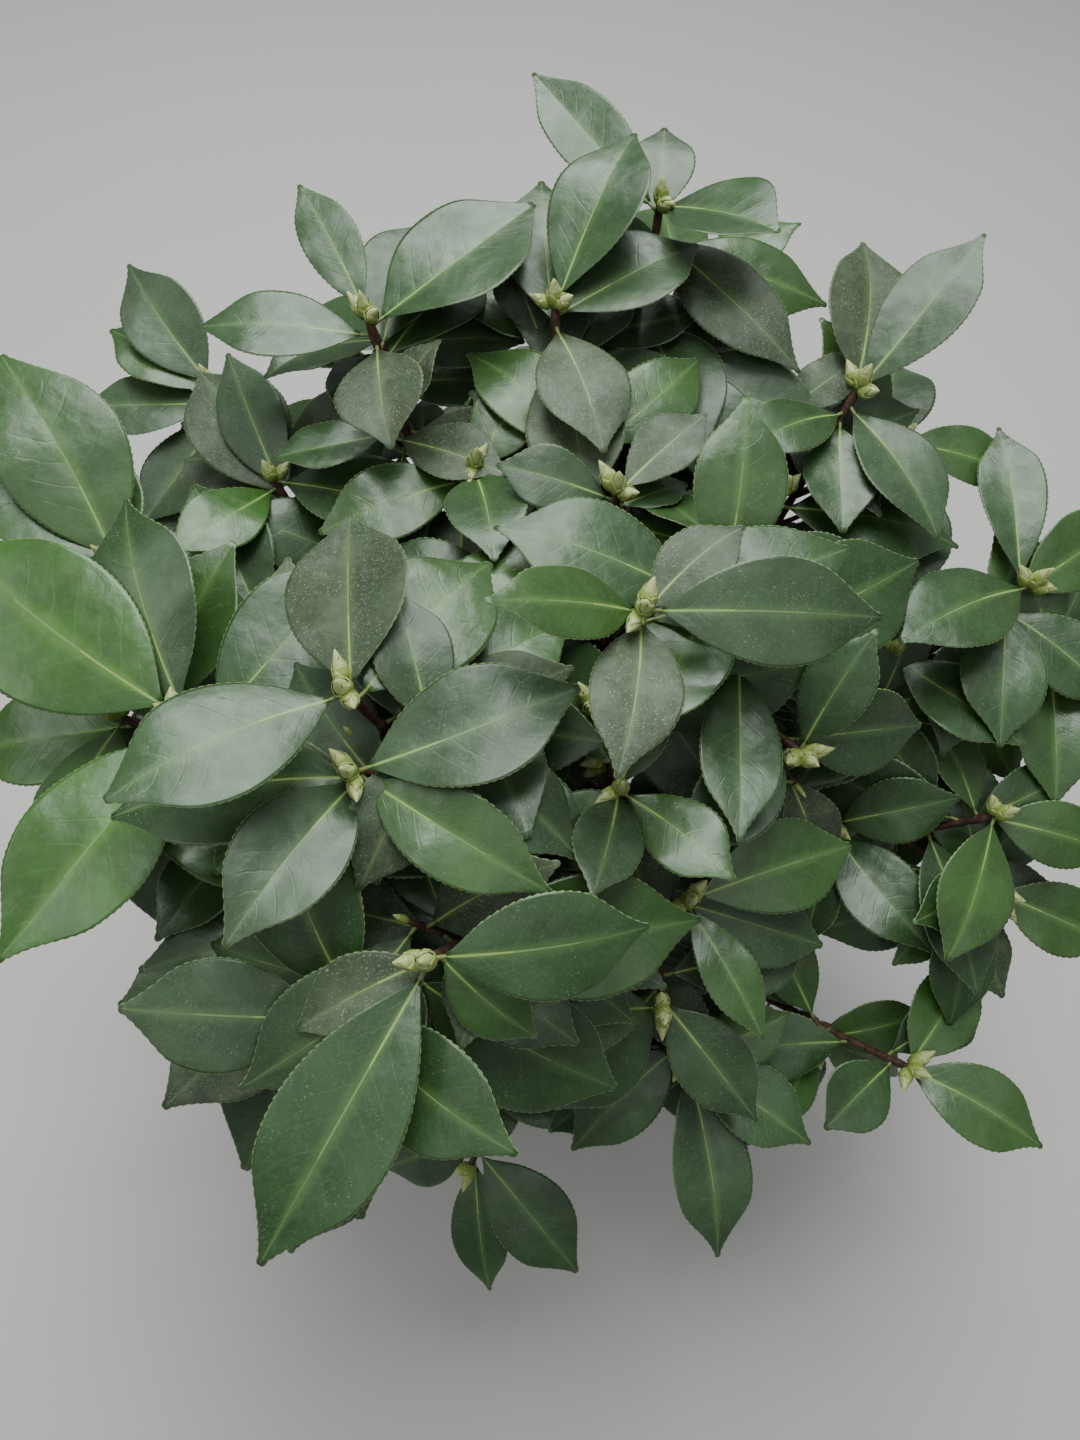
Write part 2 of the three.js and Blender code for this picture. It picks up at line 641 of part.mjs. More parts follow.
// Leaves of the whole shrub: the named whorls first, then the other whorls, then the lower leaves
function growLeaves(crown) {
  const placed = [];
  const rounds = [[], [], []];
  for (const plan of crown.plans) {
    for (const { curve, whorl } of [{ curve: plan.stem, whorl: plan.mass.whorl }, ...plan.shoots]) {
      for (const spot of leafPlaces(plan.mass, curve, whorl, plan.dice)) {
        rounds[spot.round].push({ plan, curve, spot });
      }
    }
  }
  for (const { plan, curve, spot } of rounds.flat()) {
    const tries = LEAF.retries.map((change) => leafCorners(spot, change));
    const corners = tries.find((each) => leafFits(plan, curve, each, crown, placed));
    if (corners) {
      placed.push({ owner: plan, blade: blockOf(corners.blade, 0), whole: blockOf(corners.solid, 0) });
      plan.leaves.push(corners.solid);
    }
  }
}

// One body of a fused mass: loose scraps go, and a sealed hollow is filled
function oneBody(solid) {
  const bodies = solid.decompose();
  bodies.sort((a, b) => b.volume() - a.volume());
  return bodies[0];
}

// Stem, side shoots with their buds, and leaves of one mass, fused
function massSolid(plan) {
  const bud = [
    [BUD.length * BUD.belly, BUD.radius],
    [BUD.length, BUD.pointRadius],
  ];
  const pieces = [solidOf(limbGeometry(plan.stem, stemRadius, LIMB.twigSides, LIMB.stemSteps, bud))];
  for (const { curve } of plan.shoots) {
    pieces.push(solidOf(limbGeometry(curve, shootRadius, LIMB.twigSides, LIMB.shootSteps, bud)));
  }
  plan.leaves.forEach((corners) => pieces.push(leafSolid(corners)));
  return oneBody(wasm.Manifold.union(pieces).simplify(0.01));
}

// Finished shrub
const shrub = new THREE.Group();

function add(name, solid, color, roughness) {
  const material = new THREE.MeshStandardMaterial({ color, roughness, metalness: 0 });
  const mesh = new THREE.Mesh(geometryOf(solid), material);
  mesh.name = name;
  shrub.add(mesh);
}

add('pot', makePot(), COLOURS.pot, 0.45);
add('soil', makeSoil(), COLOURS.soil, 1);
add('trunk', makeTrunk(0), COLOURS.bark, 0.9);

const crown = growLimbs();
growLeaves(crown);
const clearTrunk = makeTrunk(GAP);
for (const plan of crown.plans) {
  if (plan.bough) {
    const limb = solidOf(limbGeometry(plan.bough, limbRadius, LIMB.boughSides, LIMB.boughSteps));
    add(`bough_${plan.mass.name}`, oneBody(limb.subtract(clearTrunk)), COLOURS.bough, 0.85);
  }
  add(`foliage_${plan.mass.name}`, massSolid(plan), COLOURS.leaves, 0.4);
}

export default shrub;
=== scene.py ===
# Camellia shrub in its nursery pot, dressed for the render.
# The frame of solids comes from the imported model. Pot and soil are shaped over their solids, and
# trunk, boughs, twigs, buds and leaves grow again by the rule of the solids, carried on to finer twigs.
# The rule counts in millimetres, and meshes are made in metres.
import math
from typing import NamedTuple

import bmesh
import bpy
import numpy as np
from mathutils import Matrix, Vector, noise
from mathutils.bvhtree import BVHTree

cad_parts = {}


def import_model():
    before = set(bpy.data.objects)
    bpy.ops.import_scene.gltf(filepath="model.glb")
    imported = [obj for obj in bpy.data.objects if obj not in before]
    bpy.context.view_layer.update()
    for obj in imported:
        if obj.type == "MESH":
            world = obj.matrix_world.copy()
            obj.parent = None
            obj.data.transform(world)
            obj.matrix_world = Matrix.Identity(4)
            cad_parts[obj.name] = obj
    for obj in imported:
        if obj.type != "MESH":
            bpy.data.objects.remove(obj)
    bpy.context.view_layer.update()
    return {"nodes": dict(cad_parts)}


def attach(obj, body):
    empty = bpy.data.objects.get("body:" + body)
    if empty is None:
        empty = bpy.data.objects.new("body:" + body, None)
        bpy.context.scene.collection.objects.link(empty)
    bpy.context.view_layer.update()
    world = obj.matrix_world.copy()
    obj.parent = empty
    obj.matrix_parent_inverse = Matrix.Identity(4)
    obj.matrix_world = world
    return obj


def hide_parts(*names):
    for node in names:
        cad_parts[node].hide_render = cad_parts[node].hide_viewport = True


MM = 0.001
GOLDEN_TURN = 137.5

# Photograph's camera: where it stands, how far it looks down, how far it leans, and its focal length
IMAGE_HEIGHT = 1440
CAMERA_PLACE = (-0.025, -0.275, 0.810)
CAMERA_LOOKS_DOWN = 56.4
CAMERA_LEANS = 5.7
CAMERA_FOCAL_PIXELS = 1081

# Pot and soil, as in the solids
POT_HEIGHT = 185.0
POT_FOOT_RADIUS = 76.0
POT_RIM_RADIUS = 101.0
LIP_OVERHANG = 4.0
LIP_THICKNESS = 2.6
BAND_HEIGHT = 24.0
BAND_STEP = 1.8
POT_WALL = 2.4
POT_FLOOR = 3.0
FOOT_CHAMFER = 2.5
DRAIN_COUNT = 6
DRAIN_RADIUS = 5.5
DRAIN_PITCH = 52.0
SOIL_HEIGHT = 172.0
SOIL_EDGE_DROP = 3.0

# Trunk and limbs, as in the solids
GAP = 0.3
TRUNK_TOP = 345.0
TRUNK_LEAN = (8.0, 30.0)
TRUNK_BOW = 5.0
FLARE_RADIUS = 11.0
FOOT_RADIUS = 7.4
TOP_RADIUS = 4.0
FLARE_HEIGHT = 14.0
BOUGH_RADII = (3.6, 2.5)
STEM_RADII = (3.0, 1.8)
SHOOT_RADII = (2.4, 1.8)
BOUGH_SHARE = 0.5
BOUGH_STEPS = 4
STEM_STEPS = 4
SHOOT_STEPS = 2
SHOOT_TURN = 144.0
SHOOT_SPREAD = 52.0
SHOOT_LIFT = 0.45
SHOOT_PLACES = (0.12, 0.62)
SHOOT_BELOW = 28.0

# Leaves, as in the solids
LEAF_SLIMNESS = 2.0
LEAF_TURN = 144.0
WHORL_COUNT = 5
FIRST_GAP = 1.4
WHORL_GAP = 4.0
LOWER_GAP = 18.0
TIP_ELEVATION = 22.0
ELEVATION_STEP = 8.0
TOWARDS_LIGHT = 0.65
LEAF_DROOP = 0.1
INNER_SIZE = 0.8
SIZE_STEP = 0.07
CLEARANCE = 0.8
RETRIES = (
    (0, 0), (7, 0), (-7, 0), (0, 8), (0, -8), (14, 0), (-14, 0),
    (8, 15), (-8, 15), (8, -15), (-8, -15), (26, 0), (-26, 0),
)
BUD_LENGTH = 13.0
BUD_RADIUS = 3.9
RULE_SEED = 2000
SEED_STEP = 77

# Limbs on their way from the trunk to their tips, and how far all growth keeps from pot and ground
FREE_LIMB_LEAD = 0.4
LIMB_SWELL = 0.1
LIMB_SAG = 0.1
LIMB_LIFT = 0.22
LIMB_RISES = 40.0
FORK_SAG = 0.25
POT_CLEARANCE = 4.0
GROUND_CLEARANCE = 6.0


class Fork(NamedTuple):
    """A second leading shoot: the share of the stem where it leaves, where it ends, and its leaves."""

    share: float
    bearing: float
    reach: float
    height: float
    whorl: tuple


class Mass(NamedTuple):
    """A mass of foliage: where its leading shoot ends, how high its bough leaves the trunk, the length of
    its leaves, its side shoots and how far they spread, its leading leaves from the tip down, each as a
    bearing, a rise above the level, a length and, for an unusual leaf, its slimness, and its fork if it
    has one."""

    name: str
    bearing: float
    reach: float
    height: float
    foot: float
    leaf: float
    side: int
    spread: float
    whorl: tuple = ()
    fork: Fork | None = None


TOP_LEFT_FORK = Fork(0.4, 220, 120, 465, ((25, 10, 90), (335, 0, 85, 2.5), (245, 0, 80), (195, -5, 95)))
LEFT_BACK_FORK = Fork(0.2, 141, 278, 420, ((135, 25, 80), (155, 10, 70), (185, -5, 75)))
MASSES = (
    Mass(
        "top_left", 210, 111, 486, 298, 92, 1, 56,
        ((220, 5, 90), (100, 5, 85, 1.7), (60, 0, 85, 1.7)), TOP_LEFT_FORK,
    ),
    Mass(
        "front", 248, 149, 446, 282, 92, 2, 58,
        ((15, 0, 80), (245, -20, 115, 2.5), (210, -15, 55), (335, -30, 50)),
    ),
    Mass(
        "middle", 301, 18, 500, 345, 90, 3, 62,
        ((5, 0, 90, 2.2), (205, 25, 70, 2.4), (265, 0, 75, 2.2), (45, 15, 55)),
    ),
    Mass(
        "left", 195, 177, 442, 266, 98, 2, 60,
        ((150, 10, 125), (115, 20, 100), (240, -15, 115), (325, 0, 70)),
    ),
    Mass("middle_right", 8, 58, 452, 318, 78, 2, 58, ((35, 5, 95), (270, -5, 85, 2.6), (0, -15, 50))),
    Mass("middle_front", 280, 56, 436, 330, 66, 1, 44, ((260, 10, 55), (320, 5, 60), (70, 20, 45))),
    Mass(
        "middle_back", 91, 74, 472, 329, 72, 2, 48,
        ((50, 10, 60), (175, 10, 55), (35, -5, 40), (245, 0, 50)),
    ),
    Mass(
        "front_right", 300, 91, 389, 246, 80, 2, 56,
        ((25, 0, 80), (305, -15, 65, 2.7), (215, 0, 100), (355, -15, 70)),
    ),
    Mass(
        "back", 103, 166, 500, 322, 82, 2, 60,
        ((70, 25, 95), (35, 10, 80, 1.7), (290, -5, 80), (100, 15, 90), (285, -5, 90)),
    ),
    Mass(
        "back_left", 130, 190, 496, 290, 80, 2, 60,
        ((125, 20, 75, 2.8), (45, 15, 100, 1.7), (185, 0, 80), (285, -5, 65, 1.5), (80, 10, 85)),
    ),
    Mass(
        "back_right", 54, 186, 480, 306, 88, 2, 60,
        ((90, 20, 80, 1.8), (50, 25, 95, 2.4), (300, -10, 80), (220, 5, 65), (270, -10, 65)),
    ),
    Mass(
        "right", 22, 216, 432, 276, 80, 2, 58,
        ((215, 5, 85), (95, 15, 90, 2.8), (40, 10, 75), (265, -15, 75), (325, -15, 70)),
    ),
    Mass(
        "far_back", 88, 225, 517, 268, 86, 2, 58,
        ((320, 15, 70, 1.5), (135, 15, 100, 2.8), (90, 15, 60), (320, -15, 100, 2.7), (255, 0, 55)),
    ),
    Mass(
        "left_back", 149, 192, 434, 240, 80, 1, 58,
        ((350, 0, 85), (235, 5, 65), (120, 20, 80, 2.3), (130, 10, 90, 1.7)), LEFT_BACK_FORK,
    ),
    Mass(
        "far_left", 172, 222, 440, 250, 90, 1, 54,
        ((150, 10, 100), (130, 20, 110), (115, 15, 70), (250, 5, 70)),
    ),
    Mass(
        "right_low", 357, 196, 370, 252, 76, 2, 56,
        ((250, -15, 75), (355, -10, 65), (110, 5, 60), (30, 10, 55)),
    ),
    Mass(
        "front_low", 295, 137, 322, 218, 80, 1, 54,
        ((25, 10, 50, 1.7), (285, -25, 90, 2.5), (330, -15, 70), (225, -25, 70), (215, -20, 75)),
    ),
    Mass(
        "front_left_low", 223, 141, 365, 232, 88, 2, 58,
        ((200, 0, 85), (230, -15, 105), (250, -15, 115), (280, -15, 120)),
    ),
    Mass(
        "low_right", 328, 204, 284, 228, 66, 1, 50,
        ((60, 15, 65, 1.8), (335, -5, 75), (225, -5, 50, 1.6)),
    ),
    Mass("low_left", 180, 170, 345, 212, 80, 3, 58),
    Mass("low_back_right", 38, 184, 312, 216, 80, 2, 58),
    Mass("low_back", 84, 180, 330, 226, 80, 2, 58),
    Mass("low_back_left", 132, 182, 330, 206, 80, 3, 58),
    Mass(
        "low_front", 256, 158, 182, 200, 68, 0, 44,
        ((65, 5, 50), (285, -35, 75, 2.4), (320, -20, 85), (175, -5, 50)),
    ),
)

# Seeds of the dice for the looks of twigs and leaves, for buds and leaf colours, and for crumbs of soil
LOOKS_SEED = 4242
TOUCHES_SEED = 97
CRUMBS_SEED = 611

# Stems and side shoots of the dressed shrub, slimmer than the solids
DRESSED_STEM_RADII = (2.4, 1.7)
DRESSED_SHOOT_RADII = (2.0, 1.6)

# Dressed leaves: how far each may pass the space of its mass, the rolls that it tries beside the retries
# of the solids, the share of the lower ones that are old, and how much more an old one bends
NAMED_STRAY = 10.0
FINE_STRAY = 5.0
RETRY_ROLLS = (0, 22, -22)
OLD_LEAF_SHARE = 0.6
OLD_LEAF_BEND = 1.6

# Buds of the dressed shrub: how long and how thick they are, and how often a shoot has three
MIDDLE_BUD_LENGTHS = (13.0, 16.5)
MIDDLE_BUD_RADII = (3.6, 4.4)
SIDE_BUD_LENGTHS = (11.0, 15.5)
SIDE_BUD_RADII = (3.3, 4.3)
SIDE_BUD_TURN = 165.0
THREE_BUDS_SHARE = 0.6
LEAF_BUD_LENGTHS = (6.0, 9.0)
LEAF_BUD_RADII = (1.3, 1.8)

# Fine twigs, which only the dressed shrub has
FINE_PLACES = (0.12, 0.34, 0.56)
FINE_LENGTH = 0.5
FINE_BELOW = 14.0
FINE_SPREAD = 58.0
FINE_RADII = (1.5, 1.1)
FINE_LEAF = 0.8

# Masses whose shoots are this year's, and brighter
YOUNG_MASSES = ("left", "far_left", "low_right")

# Leading leaves that are dustier or fresher than their neighbours, by their place in the whorl
LEAF_KINDS = {
    "top_left": {0: "deep", 1: "dusty", 2: "fresh"},
    "front": {0: "deep", 1: "deep", 2: "dusty"},
    "middle": {0: "cool", 1: "fresh", 2: "dusty", 3: "dusty"},
    "left": {0: "young", 1: "deep", 2: "young"},
    "middle_back": {0: "dusty", 3: "dusty"},
    "back": {0: "deep", 1: "cool", 2: "dusty", 4: "dusty"},
    "back_left": {1: "deep", 2: "deep", 3: "dusty", 4: "cool"},
    "left_back": {0: "deep", 1: "young", 2: "cool", 3: "dusty"},
    "far_back": {0: "deep", 1: "deep", 2: "cool", 3: "dusty", 4: "dusty"},
    "back_right": {0: "dusty", 1: "cool", 2: "cool"},
    "front_left_low": {1: "dusty", 2: "cool"},
}

# Blade of a leaf and its mesh: its thickness, teeth and midrib, and where the rib's colour fades
BLADE_COLUMNS = 8
LEAST_BLADE_ROWS = 12
MARGIN_BAND = 0.95
BLADE_END = 0.012
STALK_SHARE = 0.075
BLADE_THICKNESS = 0.5
MARGIN_THICKNESS = 0.24
TOOTH_PITCH = 3.0
TOOTH_HEIGHT = 0.55
TOOTH_LEAN = 0.72
MIDRIB_HALF_WIDTH = 0.44
MIDRIB_RIDGE = 0.5
MIDRIB_PALES_AT = 0.3125
MIDRIB_FADES_AT = 0.62

# Dust on the leaves of each colour, from 0 for clean to 1
LEAF_DUST = {"deep": 0.12, "cool": 0.24, "fresh": 0.08, "young": 0.03, "dusty": 0.65}

# Colours, linear
LEAF_COLOURS = {
    "deep": (0.024, 0.068, 0.016),
    "cool": (0.029, 0.066, 0.023),
    "fresh": (0.036, 0.096, 0.018),
    "young": (0.038, 0.120, 0.015),
    "dusty": (0.038, 0.062, 0.028),
}
UNDERSIDE_COLOUR = (0.150, 0.200, 0.085)
MIDRIB_COLOUR = (0.255, 0.390, 0.100)
MIDRIB_MIDDLE_COLOUR = (0.150, 0.255, 0.085)
MIDRIB_FAINT_COLOUR = (0.095, 0.170, 0.068)
MARGIN_COLOUR = (0.200, 0.290, 0.120)
LEAF_SHEEN_TINT = (0.86, 1.0, 0.87)
DUST_FILM_COLOUR = (0.118, 0.148, 0.094)
DUST_SPECK_COLOUR = (0.32, 0.38, 0.28)
STALK_COLOUR = (0.170, 0.220, 0.060)
BUD_COLOUR = (0.270, 0.370, 0.080)
BUD_PALE_COLOUR = (0.440, 0.510, 0.200)
BUD_SILK_COLOUR = (0.700, 0.700, 0.500)
BARK_COLOUR = (0.110, 0.078, 0.055)
BARK_DARK_COLOUR = (0.040, 0.028, 0.021)
TWIG_COLOUR = (0.090, 0.042, 0.026)
TWIG_DARK_COLOUR = (0.028, 0.015, 0.011)
POT_COLOUR = (0.016, 0.016, 0.018)
# The lip is the same dark plastic as the pot; its lighter colour is a painted sheen of sky light on the
# lip
LIP_PAINTED_SHEEN_COLOUR = (0.080, 0.076, 0.086)
SOIL_COLOUR = (0.130, 0.045, 0.024)
SOIL_DARK_COLOUR = (0.035, 0.014, 0.010)
FLOOR_SIZE = 9.0
FLOOR_COLOURS = ((0.465, 0.46, 0.445), (0.495, 0.49, 0.475))

# Studio: the sky's strength at the horizon and overhead, and each softbox's place, size, power and colour
SKY_COLOUR = (0.95, 0.98, 1.0)
SKY_STRENGTH = (0.24, 0.46)
CROWN_CENTRE = (0, 0.02, 0.38)
SOFTBOXES = {
    "Softbox_above": ((-0.1, 0.2, 2.3), (1.1, 0.8), 27, (0.98, 0.99, 1.0)),
    "Softbox_back": ((-0.2, 1.15, 2.05), (1.3, 0.9), 34, (0.98, 0.99, 1.0)),
    "Softbox_front": ((0.2, -1.2, 2.3), (2.2, 1.2), 6, (1.0, 0.99, 0.98)),
    "Softbox_left": ((-1.6, -0.5, 1.7), (1.0, 1.0), 8, (1.0, 0.99, 0.97)),
}


# Seeded numbers from 0 to 1, the same for every run
class Dice:
    FACTOR = 16807
    RANGE = 2147483647

    def __init__(self, seed):
        self.state = seed

    def roll(self):
        self.state = (self.state * self.FACTOR) % self.RANGE
        return self.state / self.RANGE

    def between(self, low, high):
        return low + (high - low) * self.roll()

    def pick(self, choices):
        return choices[int(self.roll() * len(choices)) % len(choices)]


UP = np.array([0.0, 0.0, 1.0])


def unit(vector):
    return vector / np.linalg.norm(vector)


LIGHT = unit(np.array([-0.05, -0.42, 1.0]))


def lerp(low, high, share):
    return low + (high - low) * share


def smooth_step(value, low, high):
    share = np.clip((value - low) / (high - low), 0.0, 1.0)
    return share * share * (3 - 2 * share)


def place(bearing, reach, height):
    angle = math.radians(bearing)
    return np.array([reach * math.cos(angle), reach * math.sin(angle), height])


def turned(vector, axis, degrees):
    angle = math.radians(degrees)
    kept = axis * np.dot(axis, vector) * (1 - math.cos(angle))
    return vector * math.cos(angle) + np.cross(axis, vector) * math.sin(angle) + kept


def square_to(vector, axis):
    return unit(vector - axis * np.dot(vector, axis))


# Quadratic curve that knows its length, so that a place on it can be given as a share of that length
class Curve:
    def __init__(self, start, middle, end):
        self.start = np.array(start, float)
        self.middle = np.array(middle, float)
        self.end = np.array(end, float)
        self.shares = np.linspace(0.0, 1.0, 201)
        spots = np.array([self.point(share) for share in self.shares])
        steps = np.linalg.norm(np.diff(spots, axis=0), axis=1)
        self.lengths = np.concatenate([[0.0], np.cumsum(steps)])
        self.length = self.lengths[-1]

    def point(self, share):
        rest = 1 - share
        return rest * rest * self.start + 2 * rest * share * self.middle + share * share * self.end

    def tangent(self, share):
        first = self.middle - self.start
        second = self.end - self.middle
        return unit((1 - share) * first + share * second)

    def share_at(self, length_share):
        return float(np.interp(length_share * self.length, self.lengths, self.shares))

    def point_at(self, length_share):
        return self.point(self.share_at(length_share))

    def stretch(self, start, end):
        pull = lerp(self.middle, self.end, start)
        middle = lerp(lerp(self.start, self.middle, start), pull, end)
        return Curve(self.point(start), middle, self.point(end))


# Centre line of the trunk, and its radius with the root flare
TRUNK_FOOT = np.array([0.0, 0.0, SOIL_HEIGHT + GAP])
TRUNK_END = np.array([*TRUNK_LEAN, TRUNK_TOP])
TRUNK_MIDDLE = (TRUNK_FOOT + TRUNK_END) / 2 - np.array([TRUNK_BOW, TRUNK_BOW, 0])
TRUNK_CURVE = Curve(TRUNK_FOOT, TRUNK_MIDDLE, TRUNK_END)


def trunk_radius(share):
    height = share * (TRUNK_TOP - SOIL_HEIGHT)
    flare = (FLARE_RADIUS - FOOT_RADIUS) * math.exp(-3 * height / FLARE_HEIGHT)
    return lerp(FOOT_RADIUS, TOP_RADIUS, share) + flare


# A straight piece of a limb for the clearance test
class Block:
    def __init__(self, start, end, radius):
        self.points = np.array([start, end])
        self.way = unit(self.points[1] - self.points[0])
        self.centre = self.points.mean(axis=0)
        self.size = np.linalg.norm(self.points[1] - self.centre)
        self.radius = radius


def apart(a, b):
    needed = a.radius + b.radius + CLEARANCE
    if np.linalg.norm(a.centre - b.centre) > a.size + b.size + needed:
        return True
    axis = np.cross(a.way, b.way)
    if np.dot(axis, axis) <= 1e-6:
        return False
    reach_a = a.points @ unit(axis)
    reach_b = b.points @ unit(axis)
    return max(reach_b.min() - reach_a.max(), reach_a.min() - reach_b.max()) > needed


def limb_blocks(curve, steps, radius_at):
    spots = [curve.point_at(i / steps) for i in range(steps + 1)]
    return [Block(spots[i], spots[i + 1], radius_at((i + 0.5) / steps)) for i in range(steps)]


def twig_blocks(curve, steps, radii):
    tip = curve.point(1)
    bud = Block(tip, tip + curve.tangent(1) * BUD_LENGTH, BUD_RADIUS)
    return [*limb_blocks(curve, steps, lambda share: lerp(*radii, share)), bud]


def misses_pot(points):
    middles = (points[:, None, :] + points[None, :, :]).reshape(-1, 3) / 2
    wide = np.hypot(middles[:, 0], middles[:, 1]) > POT_RIM_RADIUS + LIP_OVERHANG + POT_CLEARANCE
    above = middles[:, 2] > POT_HEIGHT + POT_CLEARANCE
    return bool(np.all((middles[:, 2] > GROUND_CLEARANCE) & (above | wide)))


# Limb of a mass, from the trunk's axis to the tip of the leading shoot
def limb_of(mass):
    tip = place(mass.bearing, mass.reach, mass.height)
    if mass.foot >= TRUNK_TOP:
        ahead = TRUNK_CURVE.tangent(1)
        foot = TRUNK_END + ahead * GAP
        return Curve(foot, foot + ahead * FREE_LIMB_LEAD * np.linalg.norm(tip - foot), tip)
    start = TRUNK_CURVE.point((mass.foot - TRUNK_FOOT[2]) / (TRUNK_END[2] - TRUNK_FOOT[2]))
    run = np.linalg.norm(tip - start)
    outward = unit(np.array([tip[0] - start[0], tip[1] - start[1], 0.0]))
    middle = (start + tip) / 2 + outward * LIMB_SWELL * run
    middle[2] += -LIMB_SAG * run if tip[2] > start[2] + LIMB_RISES else LIMB_LIFT * run
    return Curve(start, middle, tip)


def fork_of(fork, stem):
    start = stem.point(fork.share)
    tip = place(fork.bearing, fork.reach, fork.height)
    middle = (start + tip) / 2
    middle[2] -= FORK_SAG * np.linalg.norm(tip - start)
    return Curve(start, middle, tip)


# One mass as it grows: its bough, its stem, and what the stem bears. A shoot with a whorl of named
# leaves has them in whorls.
class Plan:
    def __init__(self, mass, index):
        limb = limb_of(mass)
        from_top = mass.foot >= TRUNK_TOP
        split = 0.0 if from_top else BOUGH_SHARE
        gap_share = 0.0 if from_top else GAP / limb.length
        self.mass = mass
        self.bough = None if from_top else limb.stretch(0.0, split)
        self.stem = limb.stretch(split + gap_share, 1.0)
        self.dice = Dice(RULE_SEED + SEED_STEP * index)
        self.shoots = [fork_of(mass.fork, self.stem)] if mass.fork else []
        self.whorls = {self.stem: mass.whorl}
        if mass.fork:
            self.whorls[self.shoots[0]] = mass.fork.whorl
        self.fine = []
        self.leaves = []


# Way in which a shoot leaves another: a turn round its heading, then a lean away from it
def leaving(heading, turn, degrees):
    side = turned(square_to(UP, heading), heading, turn)
    leaning = math.radians(degrees)
    return heading * math.cos(leaning) + side * math.sin(leaning)


def side_shoots(plan):
    mass, stem, dice = plan.mass, plan.stem, plan.dice
    first_turn = dice.between(0, 360)
    shoots = []
    for i in range(mass.side):
        along = lerp(*SHOOT_PLACES, (i + 0.5) / mass.side)
        start = stem.point(along + dice.between(-0.05, 0.05))
        turn = first_turn + SHOOT_TURN * i
        way = leaving(stem.tangent(along), turn, SHOOT_SPREAD + dice.between(-9, 9))
        length = mass.spread * dice.between(0.85, 1.2)
        rising = unit(way + UP * SHOOT_LIFT)
        tip = start + way * length * 0.45 + rising * length * 0.6
        tip[2] = min(tip[2], stem.end[2] - SHOOT_BELOW)
        shoots.append(Curve(start, start + way * length * 0.5, tip))
    return shoots


# All limbs and shoots of the shrub, by the rule of the solids
def grow_limbs():
    plans = [Plan(mass, index) for index, mass in enumerate(MASSES)]
    limbs = limb_blocks(TRUNK_CURVE, 6, trunk_radius)
    for plan in plans:
        if plan.bough:
            limbs += limb_blocks(plan.bough, BOUGH_STEPS, lambda share: lerp(*BOUGH_RADII, share))
    twigs = []
    for plan in plans:
        twigs += [(block, plan) for block in twig_blocks(plan.stem, STEM_STEPS, STEM_RADII)]
        for curve in plan.shoots:
            twigs += [(block, plan) for block in twig_blocks(curve, SHOOT_STEPS, SHOOT_RADII)]
    for plan in plans:
        for curve in side_shoots(plan):
            blocks = twig_blocks(curve, SHOOT_STEPS, SHOOT_RADII)
            others = [block for block, owner in twigs if owner is not plan]
            fits = all(apart(block, other) for block in blocks for other in [*limbs, *others])
            if fits and misses_pot(np.concatenate([block.points for block in blocks])):
                plan.shoots.append(curve)
                twigs += [(block, plan) for block in blocks]
    return plans


# Where a leaf sits on its shoot, and how it is turned. The round tells when it is placed.
class Spot(NamedTuple):
    root: np.ndarray
    axis: np.ndarray
    bearing: float
    rise: float
    size: float
    slimness: float
    roll: float
    round: int
    order: int


# Bearing, rise and length of a leaf of the spiral round a shoot, counted from the shoot's tip
def spiral_leaf(mass, axis, turn, order, dice):
    radial = square_to(place(turn + dice.between(-8, 8), 1, 0), axis)
    elevation = math.radians(TIP_ELEVATION - ELEVATION_STEP * min(order, 5) + dice.between(-7, 7))
    along = radial * math.cos(elevation) + axis * math.sin(elevation) - UP * LEAF_DROOP
    bearing = math.degrees(math.atan2(along[1], along[0]))
    rise = math.degrees(math.asin(along[2] / np.linalg.norm(along)))
    return bearing, rise, mass.leaf * (INNER_SIZE + SIZE_STEP * min(order, 3)) * dice.between(0.92, 1.08)


def leaf_spots(mass, curve, whorl, dice, scale=1.0):
    axis = unit(lerp(curve.tangent(1), LIGHT, TOWARDS_LIGHT))
    first = dice.between(0, 360)
    spots = []
    back = FIRST_GAP
    while back < curve.length * 0.8:
        i = len(spots)
        named = i < len(whorl)
        leaf = whorl[i] if named else spiral_leaf(mass, axis, first + LEAF_TURN * i, i, dice)
        bearing, rise, size, slimness = (*leaf, LEAF_SLIMNESS)[:4]
        in_whorl = i < (len(whorl) or WHORL_COUNT)
        placed_in = 0 if named else 1 if in_whorl else 2
        root = curve.point_at(1 - back / curve.length)
        roll = dice.between(-14, 14)
        spots.append(Spot(root, axis, bearing, rise, scale * size, slimness, roll, placed_in, i))
        back += WHORL_GAP if in_whorl else LOWER_GAP * dice.between(0.8, 1.2)
    return spots


# A leaf's own axes: across, along and facing
def leaf_axes(spot, lift, swing, roll):
    slope = math.radians(spot.rise + lift)
    along = place(spot.bearing + swing, math.cos(slope), math.sin(slope))
    facing = turned(square_to(LIGHT * 0.8 + spot.axis * 0.5, along), along, spot.roll + roll)
    return np.array([np.cross(along, facing), along, facing])


